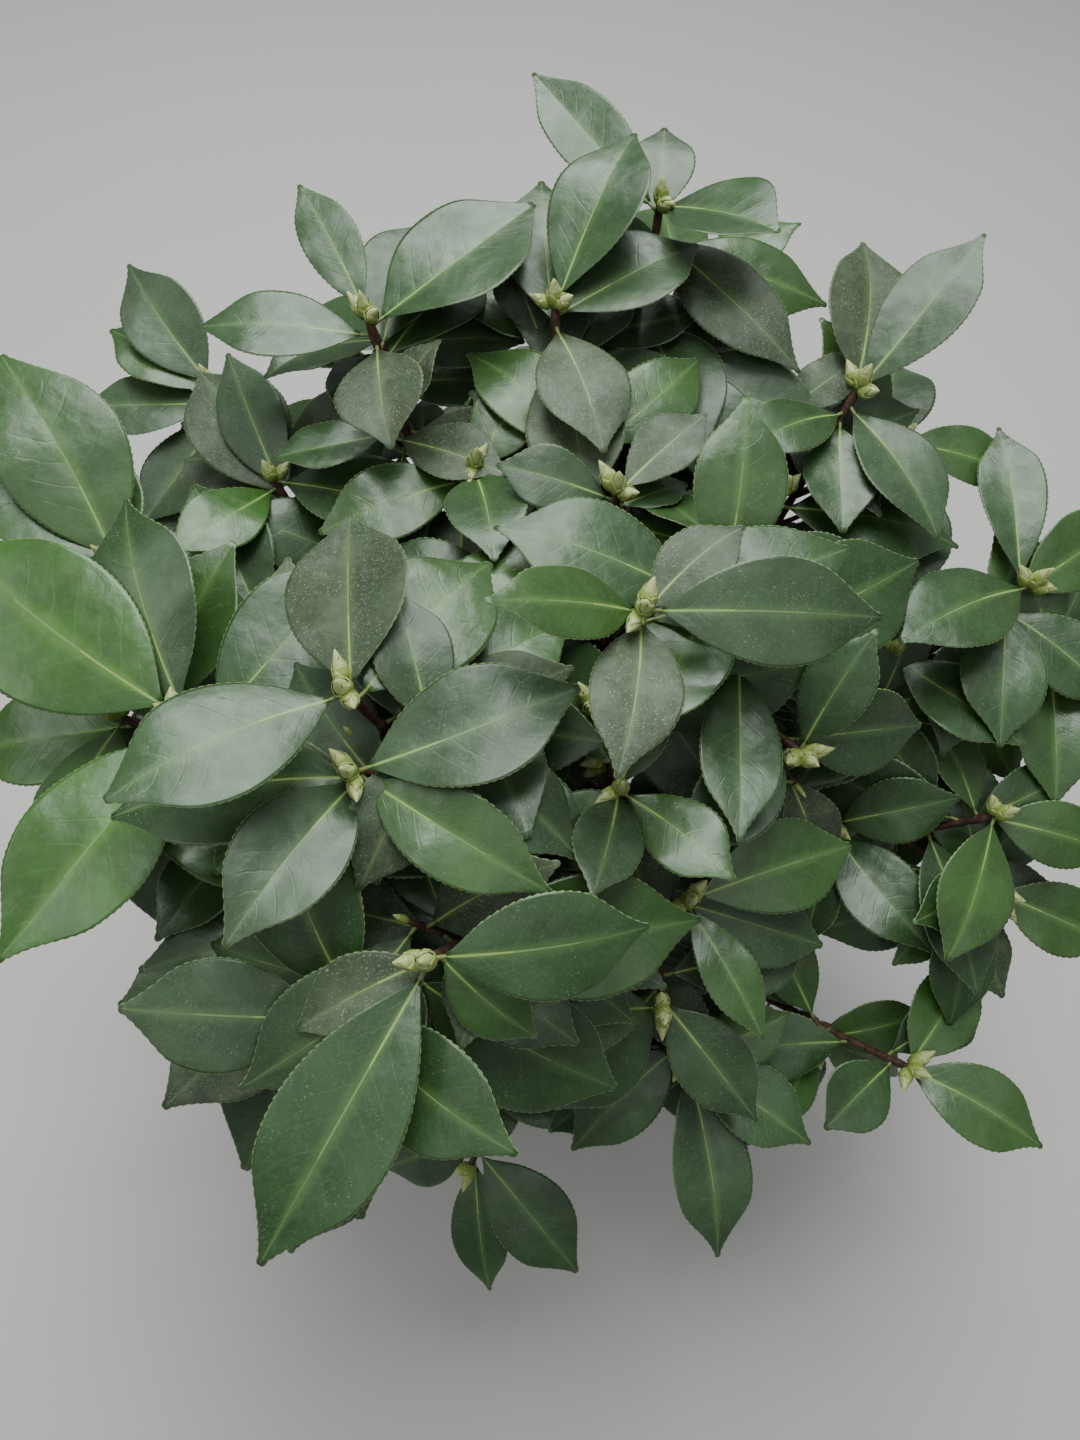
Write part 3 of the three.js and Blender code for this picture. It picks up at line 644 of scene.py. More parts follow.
# Bends, folds and waves that make each leaf its own
class LeafLook:
    def __init__(self, size, slimness, dice, is_old):
        bend = OLD_LEAF_BEND if is_old else 1.0
        self.size = size
        self.stalk = size * STALK_SHARE
        self.blade = size - self.stalk
        self.half = size / slimness / 2 * dice.between(0.95, 1.06)
        self.widest = dice.between(0.94, 1.14)
        self.point = dice.between(0.3, 0.6)
        self.arch = dice.between(0.02, 0.06)
        self.nod = dice.between(0.0, 0.07) * bend
        self.fold = dice.between(0.08, 0.27)
        self.cup = dice.between(0.04, 0.16)
        self.wave = dice.between(0.2, 0.8) * bend
        self.wave_count = dice.between(1.6, 3.2)
        self.wave_phase = dice.between(0, 1)
        self.twist = math.radians(dice.between(-14, 14))
        self.sickle = dice.between(-0.03, 0.03)

    def half_width(self, share):
        body = np.sin(np.pi * share**self.widest) ** 0.8
        wedge = 0.9 + 0.1 * smooth_step(share, 0.0, 0.2)
        tip = 1 - self.point * smooth_step(share, 0.7, 1.0)
        return self.half * body * wedge * tip

    # Point of the blade's middle surface in the leaf's own axes, in millimetres
    def surface(self, share, side):
        width = self.half_width(share)
        nod = self.nod * (share - np.clip((share - 0.55) / 0.45, 0, 1) ** 2)
        rise = self.size * (self.arch * np.sin(np.pi * share**0.9) + nod)
        fold = width * (self.fold * np.abs(side) - self.cup * np.abs(side) ** 1.8)
        ripple = np.sin(2 * np.pi * (self.wave_count * share + self.wave_phase) + 0.9 * np.sign(side))
        lift = fold + self.wave * ripple * side**2 * width / self.half
        angle = self.twist * (share - 0.35)
        x = side * width * np.cos(angle) - lift * np.sin(angle)
        z = side * width * np.sin(angle) + lift * np.cos(angle)
        x = x + self.size * self.sickle * 4 * share * (1 - share)
        y = self.stalk + share * self.blade
        return np.stack(np.broadcast_arrays(x, y, rise + z), axis=-1)


# Shapes that already stand in the crown, with their boxes, so that only near ones are tested
class Crowd:
    def __init__(self):
        self.lows = []
        self.highs = []
        self.trees = []
        self.owners = []

    def add(self, points, faces, owner=None):
        self.lows.append(points.min(axis=0))
        self.highs.append(points.max(axis=0))
        self.trees.append(BVHTree.FromPolygons(points.tolist(), faces))
        self.owners.append(owner)

    def meets(self, points, faces, skip=None):
        near = np.all(np.array(self.lows) < points.max(axis=0), axis=1)
        near &= np.all(np.array(self.highs) > points.min(axis=0), axis=1)
        tree = BVHTree.FromPolygons(points.tolist(), faces)
        found = np.flatnonzero(near)
        return any(self.owners[i] is not skip and tree.overlap(self.trees[i]) for i in found)


def grid_faces(rows, columns):
    faces = []
    for row in range(rows):
        for column in range(columns):
            first = row * (columns + 1) + column
            faces.append((first, first + 1, first + columns + 2, first + columns + 1))
    return faces


# Coarse sheet of a leaf, for the test against its neighbours
TEST_SHARES = np.linspace(0.14, 1.0, 9)[:, None]
TEST_SIDES = np.array([[-1.0, -0.5, 0.0, 0.5, 1.0]])
TEST_FACES = grid_faces(8, 4)


def test_sheet(look, root, axes):
    return root + look.surface(TEST_SHARES, TEST_SIDES).reshape(-1, 3) @ axes


# Tube along a list of points, with a radius for each, closed at both ends. Its sides are listed in
# rings, and wobble moves each point in or out by a share of the radius.
def tube(points, radii, sides, wobble=None):
    points = np.asarray(points, float)
    ways = np.gradient(points, axis=0)
    normal = square_to(np.array([0.31, 0.87, 0.38]), unit(ways[0]))
    angles = 2 * np.pi * np.arange(sides) / sides
    rings = []
    for index, (spot, way) in enumerate(zip(points, ways)):
        way = unit(way)
        normal = square_to(normal, way)
        ring = np.outer(np.cos(angles), normal) + np.outer(np.sin(angles), np.cross(way, normal))
        swell = 1.0 if wobble is None else 1.0 + wobble(index, angles)[:, None]
        rings.append(spot + ring * radii[index] * swell)
    vertices = np.concatenate([*rings, points[:1], points[-1:]])
    faces = []
    for ring in range(len(points) - 1):
        for side in range(sides):
            a = ring * sides + side
            b = ring * sides + (side + 1) % sides
            faces.append((a, b, b + sides, a + sides))
    first, last = len(points) * sides, len(points) * sides + 1
    end = (len(points) - 1) * sides
    faces += [(first, (side + 1) % sides, side) for side in range(sides)]
    faces += [(last, end + side, end + (side + 1) % sides) for side in range(sides)]
    return vertices, faces


# Parts of one joined piece, gathered as arrays and made into a mesh at the end
class Gathering:
    def __init__(self):
        self.vertices = []
        self.marks = []
        self.faces = []
        self.slots = []
        self.flat = []
        self.count = 0

    def add(self, vertices, faces, slots, marks=None, flat=None):
        self.vertices.append(vertices)
        self.marks.append(np.zeros((len(vertices), 2)) if marks is None else marks)
        self.faces += [tuple(index + self.count for index in face) for face in faces]
        self.slots += [slots] * len(faces) if isinstance(slots, int) else list(slots)
        self.flat += [False] * len(faces) if flat is None else list(flat)
        self.count += len(vertices)

    def piece(self, name, materials, slot_name):
        mesh = bpy.data.meshes.new(name)
        mesh.from_pydata((np.concatenate(self.vertices) * MM).tolist(), [], self.faces)
        for material in materials:
            mesh.materials.append(material)
        mesh.polygons.foreach_set("material_index", np.array(self.slots, np.int32))
        mesh.polygons.foreach_set("use_smooth", ~np.array(self.flat, bool))
        corners = np.empty(len(mesh.loops), np.int32)
        mesh.loops.foreach_get("vertex_index", corners)
        layer = mesh.uv_layers.new(name="Blade")
        layer.data.foreach_set("uv", np.concatenate(self.marks)[corners].ravel().astype(np.float32))
        mesh.update()
        made = bpy.data.objects.new(name, mesh)
        bpy.context.scene.collection.objects.link(made)
        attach(made, "root")
        return made


# Slots of a leaf piece's materials, after the blade colours
BLADE_SLOTS = {name: index for index, name in enumerate(LEAF_COLOURS)}
UNDERSIDE_SLOT = len(LEAF_COLOURS)
MIDRIB_SLOT = UNDERSIDE_SLOT + 1
MIDDLE_MIDRIB_SLOT = UNDERSIDE_SLOT + 2
FAINT_MIDRIB_SLOT = UNDERSIDE_SLOT + 3
MARGIN_SLOT = UNDERSIDE_SLOT + 4
STALK_SLOT = UNDERSIDE_SLOT + 5


def rib_kind(share):
    if share < MIDRIB_PALES_AT:
        return "midrib"
    return "middle midrib" if share < MIDRIB_FADES_AT else "faint midrib"


# Faces of a blade with a number of rows: the upper side, the lower side and a tooth on each step of
# both margins. The mesh has eight columns above, eight below, and the points of the teeth.
def blade_faces(rows):
    columns = BLADE_COLUMNS
    below = (rows + 1) * columns
    teeth = 2 * below
    faces, kinds = [], []
    for row in range(rows):
        for column in range(columns - 1):
            a = row * columns + column
            b = a + columns
            faces.append((a, a + 1, b + 1, b))
            kinds.append(rib_kind(row / rows) if column == columns // 2 - 1 else "upper")
            faces.append((below + a, below + b, below + b + 1, below + a + 1))
            kinds.append("lower")
        left, right = row * columns, row * columns + columns - 1
        for side, (a, point) in enumerate(((left, teeth + 2 * row), (right, teeth + 2 * row + 1))):
            b = a + columns
            tooth = [
                (a, b, point),
                (below + b, below + a, point),
                (below + a, a, point),
                (b, below + b, point),
            ]
            faces += tooth if side == 0 else [face[::-1] for face in tooth]
            kinds += ["tooth", "tooth", "tooth side", "tooth side"]
    first_row = tuple(range(columns))
    last_row = tuple(rows * columns + i for i in range(columns))
    faces.append(first_row[::-1] + tuple(below + i for i in first_row))
    faces.append(last_row + tuple(below + i for i in last_row)[::-1])
    kinds += ["lower", "tooth side"]
    return faces, kinds


BLADE_PATTERNS = {}


def add_blade(gathering, look, root, axes, colour):
    rows = max(LEAST_BLADE_ROWS, round(look.blade / TOOTH_PITCH))
    if rows not in BLADE_PATTERNS:
        BLADE_PATTERNS[rows] = blade_faces(rows)
    faces, kinds = BLADE_PATTERNS[rows]
    share = np.linspace(0.0, 1.0, rows + 1)[:, None]
    inside = np.clip(share, BLADE_END, 1 - BLADE_END)
    width = look.half_width(inside)
    midrib = np.clip(MIDRIB_HALF_WIDTH * (1.1 - 0.85 * share) / width, 0.015, 0.3)
    outer = [np.full_like(share, -across) for across in (1.0, MARGIN_BAND, 0.5)]
    left = np.concatenate([*outer, -midrib], axis=1)
    side = np.concatenate([left, -left[:, ::-1]], axis=1)
    middle = look.surface(inside, side)
    middle[..., 1] += (share - inside) * look.blade
    half_thickness = 0.5 * lerp(BLADE_THICKNESS, MARGIN_THICKNESS, np.abs(side))
    ridge = (np.abs(side) <= midrib + 1e-9) * (1.1 - share)
    above = middle.copy()
    above[..., 2] += half_thickness - 0.14 * ridge
    below = middle.copy()
    below[..., 2] -= half_thickness + MIDRIB_RIDGE * ridge
    edges = middle[:, [0, -1], :]
    teeth = lerp(edges[:-1], edges[1:], TOOTH_LEAN)
    step_share = (share[:-1] + share[1:]) / 2
    height = TOOTH_HEIGHT * smooth_step(step_share, 0.06, 0.2) + 0.02
    teeth[:, 0, 0] -= height[:, 0]
    teeth[:, 1, 0] += height[:, 0]
    local = np.concatenate([above.reshape(-1, 3), below.reshape(-1, 3), teeth.reshape(-1, 3)])
    flat_share = np.broadcast_to(share, side.shape)
    marks = np.stack([flat_share, 0.5 + side / 2], axis=-1).reshape(-1, 2)
    tooth_marks = np.stack(np.broadcast_arrays(step_share, [[0.0, 1.0]]), axis=-1).reshape(-1, 2)
    slots = {
        "upper": BLADE_SLOTS[colour],
        "lower": UNDERSIDE_SLOT,
        "midrib": MIDRIB_SLOT,
        "middle midrib": MIDDLE_MIDRIB_SLOT,
        "faint midrib": FAINT_MIDRIB_SLOT,
    }
    gathering.add(
        root + local @ axes,
        faces,
        [slots.get(kind, MARGIN_SLOT) for kind in kinds],
        np.concatenate([marks, marks, tooth_marks]),
        [kind == "tooth side" for kind in kinds],
    )


def add_stalk(gathering, look, root, axes):
    shares = np.array([0.12, 0.5, 1.0, 1.35])
    lift = np.array([-0.2, -0.05, -0.25, -0.5])
    local = np.stack([np.zeros_like(shares), shares * look.stalk, lift], axis=1)
    points, faces = tube(root + local @ axes, [1.15, 0.95, 0.85, 0.55], 6)
    gathering.add(points, faces, STALK_SLOT)


# Bud: overlapping scales round a core, each scale a thin curved shell that ends in a point
BUD_SCALES = 6
SCALE_ROWS = 4
SCALE_COLUMNS = 4
SCALE_POINTS = (SCALE_ROWS + 1) * (SCALE_COLUMNS + 1)
SCALE_ROW_SHARES = np.linspace(0, 1, SCALE_ROWS + 1)[:, None]
SCALE_SIDES = np.linspace(-1, 1, SCALE_COLUMNS + 1)[None, :]
SILK_FROM = 0.84
PALE_FROM = 0.5
BUD_SLOTS = {"green": 0, "pale": 1, "silk": 2}


def bud_radius(share):
    return np.sin(np.pi * np.clip(0.1 + 0.9 * share, 0, 1) ** 0.75) ** 0.85 * (1 - 0.12 * share)


# Faces of a scale: an outer sheet, an inner sheet, and the rim that joins them
def scale_faces():
    outer = grid_faces(SCALE_ROWS, SCALE_COLUMNS)
    inner = [tuple(index + SCALE_POINTS for index in face[::-1]) for face in outer]
    wide = SCALE_COLUMNS + 1
    rim = []
    for i in range(SCALE_COLUMNS):
        rim += [(i + 1, i), (SCALE_POINTS - wide + i, SCALE_POINTS - wide + i + 1)]
    for first in range(0, SCALE_ROWS * wide, wide):
        rim += [(first, first + wide), (first + wide + SCALE_COLUMNS, first + SCALE_COLUMNS)]
    return outer + inner + [(a, b, b + SCALE_POINTS, a + SCALE_POINTS) for a, b in rim]


SCALE_FACES = scale_faces()


# Colour of a face of a scale, by its height on the bud and its row on the scale
def scale_kind(height, row):
    if height > SILK_FROM:
        return "silk"
    return "pale" if height > PALE_FROM or row >= SCALE_ROWS - 1 else "green"


def add_bud(gathering, foot, axes, length, radius, dice):
    core_shares = np.linspace(0.02, 0.97, 7)
    middle = np.zeros_like(core_shares)
    core = np.stack([middle, middle, core_shares * length], axis=1)
    points, faces = tube(foot + core @ axes, radius * bud_radius(core_shares) * 0.86, 8)
    gathering.add(points, faces, BUD_SLOTS["pale"])
    spread = math.radians(74) * (1 - SCALE_ROW_SHARES**2.2 * 0.97)
    bowed = SCALE_ROW_SHARES - 0.1 * (SCALE_SIDES**2) * SCALE_ROW_SHARES
    for scale in range(BUD_SCALES):
        start = 0.06 * scale
        rise = min(1.0, 0.42 + 0.1 * scale) - start
        angle = math.radians(GOLDEN_TURN * scale + dice.between(-12, 12)) + SCALE_SIDES * spread
        share = start + rise * bowed
        off = 0.07 * (BUD_SCALES - scale) / BUD_SCALES
        shell = []
        for extra in (0.03 + off, off - 0.02):
            reach = radius * (bud_radius(share) * (0.9 + extra) + 0.03)
            sheet = np.stack([reach * np.cos(angle), reach * np.sin(angle), share * length], axis=-1)
            shell.append(sheet.reshape(-1, 3))
        rows = [(min(face) % SCALE_POINTS) // (SCALE_COLUMNS + 1) for face in SCALE_FACES]
        slots = [BUD_SLOTS[scale_kind(start + rise * row / SCALE_ROWS, row)] for row in rows]
        gathering.add(foot + np.concatenate(shell) @ axes, SCALE_FACES, slots)


# A small leaf bud: one slim body, green with a pale tip
def add_leaf_bud(gathering, foot, way, length, radius):
    sides = 7
    green_rings = 3
    shares = np.array([0.02, 0.2, 0.45, 0.7, 0.9, 1.0])
    radii = radius * np.array([0.6, 0.95, 1.0, 0.72, 0.32, 0.08])
    points, faces = tube(foot + np.outer(shares * length, way), radii, sides)
    slots = [BUD_SLOTS["pale" if min(face) >= green_rings * sides else "green"] for face in faces]
    gathering.add(points, faces, slots)


def bud_axes(way, dice):
    side = square_to(np.array([0.7, 0.2, 0.5]), way)
    side = turned(side, way, dice.between(0, 360))
    return np.array([side, np.cross(way, side), way])


# Two or three buds that fan out from the tip of a shoot, the middle one along it
def add_bud_cluster(gathering, tip, way, dice):
    length, radius = dice.between(*MIDDLE_BUD_LENGTHS), dice.between(*MIDDLE_BUD_RADII)
    add_bud(gathering, tip - way, bud_axes(way, dice), length, radius, dice)
    turn = dice.between(0, 360)
    for i in range(2 if dice.roll() < THREE_BUDS_SHARE else 1):
        across = square_to(np.array([0.3, 0.9, 0.2]), way)
        side = turned(across, way, turn + SIDE_BUD_TURN * i + dice.between(-20, 20))
        lean = unit(way * dice.between(0.5, 0.9) + side)
        foot = tip - way * dice.between(0.5, 2.0) + side * 1.2
        length, radius = dice.between(*SIDE_BUD_LENGTHS), dice.between(*SIDE_BUD_RADII)
        add_bud(gathering, foot, bud_axes(lean, dice), length, radius, dice)


# Space of a mass: the planes of the hull round its solid, in millimetres
def space_of(node):
    shape = bmesh.new()
    for vertex in node.data.vertices:
        shape.verts.new(node.matrix_world @ vertex.co / MM)
    hull = bmesh.ops.convex_hull(shape, input=shape.verts)
    faces = [item for item in hull["geom"] if isinstance(item, bmesh.types.BMFace)]
    centre = np.mean([vert.co for vert in shape.verts], axis=0)
    normals, offsets = [], []
    for face in faces:
        face.normal_update()
        normal = np.array(face.normal)
        offset = float(normal @ np.array(face.verts[0].co))
        side = 1.0 if normal @ centre < offset else -1.0
        normals.append(side * normal)
        offsets.append(side * offset)
    shape.free()
    return np.array(normals), np.array(offsets)


def strays(points, space):
    normals, offsets = space
    return float((points @ normals.T - offsets).max())


# Fine twigs of a mass, from its stem and side shoots
def fine_twigs(plan, space, crowd, dice):
    for curve in [plan.stem, *plan.shoots]:
        turn = dice.between(0, 360)
        for i, share in enumerate(FINE_PLACES):
            start_share = share + dice.between(-0.06, 0.06)
            start = curve.point(start_share)
            degrees = FINE_SPREAD + dice.between(-10, 10)
            way = leaving(curve.tangent(start_share), turn + SHOOT_TURN * i, degrees)
            length = plan.mass.spread * FINE_LENGTH * dice.between(0.8, 1.25)
            tip = start + way * length * 0.5 + unit(way + UP * 0.7) * length * 0.55
            twig = Curve(start, start + way * length * 0.5, tip)
            spots = np.array([twig.point(t) for t in np.linspace(0.25, 1, 5)])
            points, faces = tube(spots, [FINE_RADII[0] + 1] * len(spots), 5)
            low_enough = tip[2] < curve.point(1)[2] - FINE_BELOW
            in_space = strays(spots, space) < 0 and misses_pot(spots)
            if low_enough and in_space and not crowd.meets(points, faces, curve):
                plan.fine.append(twig)
                crowd.add(points, faces, twig)


# Leaf by leaf, in the order of the rule: leading whorls, other whorls, lower leaves, fine twigs
def grow_leaves(plans, spaces):
    looks = Dice(LOOKS_SEED)
    crowd = Crowd()
    for plan in plans:
        limbs = [(plan.stem, STEM_RADII)] + [(shoot, SHOOT_RADII) for shoot in plan.shoots]
        if plan.bough:
            limbs.append((plan.bough, BOUGH_RADII))
        for curve, radii in limbs:
            spots = [curve.point(t) for t in np.linspace(0, 1, 7)]
            points, faces = tube(spots, np.linspace(*radii, 7) * 0.9, 6)
            crowd.add(points, faces, curve)
    rounds = [[], [], [], []]
    for plan in plans:
        for curve in [plan.stem, *plan.shoots]:
            for spot in leaf_spots(plan.mass, curve, plan.whorls.get(curve, ()), plan.dice):
                rounds[spot.round].append((plan, curve, spot))
    for plan in plans:
        fine_twigs(plan, spaces[plan.mass.name], crowd, looks)
        for curve in plan.fine:
            for spot in leaf_spots(plan.mass, curve, (), looks, FINE_LEAF):
                rounds[3].append((plan, curve, spot))
    for order, spots in enumerate(rounds):
        for plan, curve, spot in spots:
            is_old = order >= 2 and looks.roll() < OLD_LEAF_SHARE
            look = LeafLook(spot.size, spot.slimness, looks, is_old)
            axes = clear_axes(curve, spot, look, spaces[plan.mass.name], crowd)
            if axes is not None:
                plan.leaves.append((look, spot, axes, is_old))


# Axes in which a leaf stands clear of all its neighbours and keeps to the space of its mass
def clear_axes(curve, spot, look, space, crowd):
    limit = NAMED_STRAY if spot.round == 0 else FINE_STRAY
    for roll in RETRY_ROLLS:
        for lift, swing in RETRIES:
            axes = leaf_axes(spot, lift, swing, roll)
            sheet = test_sheet(look, spot.root, axes)
            in_space = strays(sheet, space) < limit and misses_pot(sheet[::6])
            if in_space and not crowd.meets(sheet, TEST_FACES, curve):
                crowd.add(sheet, TEST_FACES)
                return axes
    return None


def leaf_colour(plan, spot, is_old, dice):
    kinds = LEAF_KINDS.get(plan.mass.name, {})
    on_stem = spot.round == 0 and np.linalg.norm(spot.root - plan.stem.end) < WHORL_COUNT * WHORL_GAP
    if on_stem and spot.order in kinds:
        return kinds[spot.order]
    if is_old:
        return dice.pick(("dusty", "dusty", "cool"))
    if plan.mass.name in YOUNG_MASSES:
        return dice.pick(("young", "fresh", "fresh", "deep"))
    return dice.pick(("deep", "deep", "cool", "fresh"))


# Mesh of a twig: the step between its rings, and the knot under each leaf near it
TWIG_STEP = 3.0
KNOT_SWELL = 0.45
KNOT_WIDTH = 1.6
KNOT_REACH = 2.5
ROUGHNESS_SWELL = 0.09


# Radius of a twig along its length, a little thicker at every leaf
def twig_radii(curve, radii, shares, leaves):
    thickness = lerp(*radii, shares)
    for leaf in leaves:
        where = np.argmin([np.linalg.norm(curve.point(share) - leaf) for share in shares])
        away = (shares - shares[where]) * curve.length
        thickness = thickness + KNOT_SWELL * np.exp(-((away / KNOT_WIDTH) ** 2))
    return thickness


def spots_along(curve, step, least):
    steps = max(least, round(curve.length / step))
    shares = np.linspace(0, 1, steps + 1)
    return shares, np.array([curve.point(share) for share in shares])


def add_twig(gathering, curve, radii, leaf_roots, sides):
    shares, spots = spots_along(curve, TWIG_STEP, 8)
    near = [root for root in leaf_roots if np.linalg.norm(spots - root, axis=1).min() < KNOT_REACH]
    thickness = twig_radii(curve, radii, shares, near)

    def roughness(index, angles):
        spot = Vector(spots[index] * 0.3)
        around = [Vector((math.cos(angle) * 0.4, math.sin(angle) * 0.4, 0)) for angle in angles]
        return np.array([ROUGHNESS_SWELL * noise.noise(spot + way) for way in around])

    points, faces = tube(spots, thickness, sides, roughness)
    gathering.add(points, faces, 0)


# Trunk or bough, with shallow furrows and a fine grain
def add_limb(gathering, curve, radius_at, sides, step, depth):
    shares, spots = spots_along(curve, step, 10)

    def relief(index, angles):
        swell = []
        for angle in angles:
            around = Vector((math.cos(angle) * 1.6, math.sin(angle) * 1.6, spots[index][2] * 0.035))
            furrow = -abs(noise.noise(around * 2.1)) + 0.35
            grain = noise.noise(Vector((math.cos(angle) * 3, math.sin(angle) * 3, index * 0.55)))
            swell.append(depth * (furrow + 0.35 * grain))
        return np.array(swell)

    points, faces = tube(spots, [radius_at(share) for share in shares], sides, relief)
    gathering.add(points, faces, 0)


# Radius of a bough, with a collar where it leaves the trunk
def bough_radius(curve):
    def radius(share):
        collar = 1.9 * math.exp(-share * curve.length / 7.0)
        return lerp(*BOUGH_RADII, share) + collar

    return radius


def dimmed(colour, share):
    return tuple(share * part for part in colour)


# Materials. A finish gathers the nodes of one material; plain values go to sockets and sockets are linked.
class Finish:
    def __init__(self, name, colour, roughness, specular):
        self.material = bpy.data.materials.new(name)
        self.material.use_nodes = True
        self.tree = self.material.node_tree
        self.shader = self.tree.nodes["Principled BSDF"]
        self.material.diffuse_color = (*colour, 1)
        self.shader.inputs["Base Color"].default_value = (*colour, 1)
        self.shader.inputs["Roughness"].default_value = roughness
        self.shader.inputs["Specular IOR Level"].default_value = specular

    def plug(self, value, socket):
        if isinstance(value, bpy.types.NodeSocket):
            self.tree.links.new(value, socket)
        else:
            socket.default_value = value

    def node(self, kind, inputs, **settings):
        made = self.tree.nodes.new(kind)
        for name, value in settings.items():
            setattr(made, name, value)
        for key, value in inputs.items():
            self.plug(value, made.inputs[key])
        return made

    def place(self, stretch=(1, 1, 1)):
        spot = self.node("ShaderNodeTexCoord", {}).outputs["Object"]
        return self.node("ShaderNodeMapping", {"Vector": spot, "Scale": stretch}).outputs["Vector"]

    def grain(self, scale, detail=4.0, rough=0.55, stretch=(1, 1, 1)):
        inputs = {"Vector": self.place(stretch), "Scale": scale, "Detail": detail, "Roughness": rough}
        return self.node("ShaderNodeTexNoise", inputs).outputs["Fac"]

    def specks(self, scale, stretch=(1, 1, 1)):
        inputs = {"Vector": self.place(stretch), "Scale": scale}
        return self.node("ShaderNodeTexVoronoi", inputs)

    def maths(self, operation, first, second=0.0):
        return self.node("ShaderNodeMath", {0: first, 1: second}, operation=operation).outputs[0]

    def times(self, first, second):
        return self.maths("MULTIPLY", first, second)

    def between(self, value, low, high, start=0.0, end=1.0):
        inputs = {0: value, 1: low, 2: high, 3: start, 4: end}
        return self.node("ShaderNodeMapRange", inputs, interpolation_type="SMOOTHSTEP").outputs[0]

    def mix(self, share, first, second):
        first = (*first, 1) if isinstance(first, tuple) else first
        second = (*second, 1) if isinstance(second, tuple) else second
        inputs = {0: share, 6: first, 7: second}
        return self.node("ShaderNodeMix", inputs, data_type="RGBA").outputs[2]

    def bump(self, height, strength, distance, under=None):
        inputs = {"Height": height, "Strength": strength, "Distance": distance}
        if under is not None:
            inputs["Normal"] = under
        return self.node("ShaderNodeBump", inputs).outputs["Normal"]

    def set(self, **sockets):
        for name, value in sockets.items():
            self.plug(value, self.shader.inputs[name.replace("_", " ").title()])
        return self.material


# Upper side of a blade: side veins from its own map, faint mottling, pale dust and a waxy gloss
def leaf_finish(name, colour, dust):
    finish = Finish("Leaf_" + name, colour, 0.3, specular=0.66 - 0.4 * dust)
    finish.shader.inputs["Specular Tint"].default_value = (*LEAF_SHEEN_TINT, 1)
    blade = finish.node("ShaderNodeUVMap", {}, uv_map="Blade").outputs["UV"]
    axes = finish.node("ShaderNodeSeparateXYZ", {0: blade})
    along, across = axes.outputs[0], axes.outputs[1]
    centred = finish.maths("SUBTRACT", across, 0.5)
    out = finish.times(finish.maths("ABSOLUTE", centred), 2.0)
    left = finish.times(finish.maths("GREATER_THAN", centred, 0.0), 0.47)
    sweep = finish.times(finish.maths("POWER", out, 1.25), 0.2)
    wander = finish.times(finish.grain(90.0, 2.0), 0.035)
    place_along = finish.maths("ADD", finish.maths("SUBTRACT", along, sweep), wander)
    turns = finish.maths("ADD", finish.times(place_along, 9.0), left)
    off_vein = finish.maths("PINGPONG", turns, 0.5)
    line = finish.between(off_vein, 0.0, 0.09, 1.0, 0.0)
    vein = finish.times(line, finish.between(out, 0.95, 0.4, 0.0, 1.0))
    near_rib = finish.between(out, 0.0, 0.22, 1.0, 0.0)
    base = finish.between(along, 0.0, 0.3, 1.0, 0.0)
    pale = tuple(1.5 * part + extra for part, extra in zip(colour, (0.05, 0.07, 0.015)))
    mottling = finish.between(finish.grain(38.0, 3.0), 0.35, 0.68)
    mottled = finish.mix(mottling, dimmed(colour, 0.68), colour)
    veined = finish.mix(finish.times(vein, 0.10), mottled, pale)
    paling = finish.maths("ADD", finish.times(base, 0.5), 0.4)
    ribbed = finish.mix(finish.times(near_rib, paling), veined, pale)
    film = finish.between(finish.grain(52.0, 5.0, 0.7), 0.4, 0.75, 0.0, dust)
    powder = finish.between(finish.grain(760.0, 4.0, 0.8), 0.48, 0.66, 0.0, 0.2 + 0.5 * dust)
    dots = finish.specks(900.0)
    chosen = finish.maths("GREATER_THAN", dots.outputs["Color"], 0.62 - 0.3 * dust)
    fleck = finish.times(chosen, finish.between(dots.outputs["Distance"], 0.1, 0.32, 1.0, 0.0))
    scratch = finish.between(finish.grain(420.0, 4.0, 0.7, (1, 0.16, 0.4)), 0.68, 0.74)
    rare = finish.between(finish.grain(70.0, 3.0), 0.52 - 0.2 * dust, 0.68 - 0.2 * dust)
    marks = finish.maths("MAXIMUM", fleck, scratch)
    speck = finish.times(finish.times(marks, rare), min(0.62, 0.4 + 0.3 * dust))
    filmed = finish.mix(finish.maths("MAXIMUM", film, powder), ribbed, DUST_FILM_COLOUR)
    dusted = finish.mix(speck, filmed, DUST_SPECK_COLOUR)
    gloss = finish.between(finish.grain(120.0, 3.0), 0.3, 0.7, 0.23 + 0.3 * dust, 0.33 + 0.3 * dust)
    height = finish.maths("SUBTRACT", finish.grain(300.0, 3.0), finish.times(vein, 0.25))
    buckled = finish.bump(finish.grain(42.0, 2.0), 0.28, 0.004)
    normal = finish.bump(height, 0.3, 0.0004, buckled)
    return finish.set(base_color=dusted, roughness=gloss, normal=normal)


def underside_finish():
    finish = Finish("Leaf_underside", UNDERSIDE_COLOUR, 0.55, specular=0.35)
    mottled = finish.mix(finish.grain(45.0), dimmed(UNDERSIDE_COLOUR, 0.75), UNDERSIDE_COLOUR)
    return finish.set(base_color=mottled, normal=finish.bump(finish.grain(260.0), 0.2, 0.0004))


def plain_green_finish(name, colour, roughness):
    finish = Finish(name, colour, roughness, specular=0.45)
    shaded = finish.mix(finish.grain(150.0, 3.0), dimmed(colour, 0.7), colour)
    return finish.set(base_color=shaded, normal=finish.bump(finish.grain(600.0), 0.15, 0.0002))


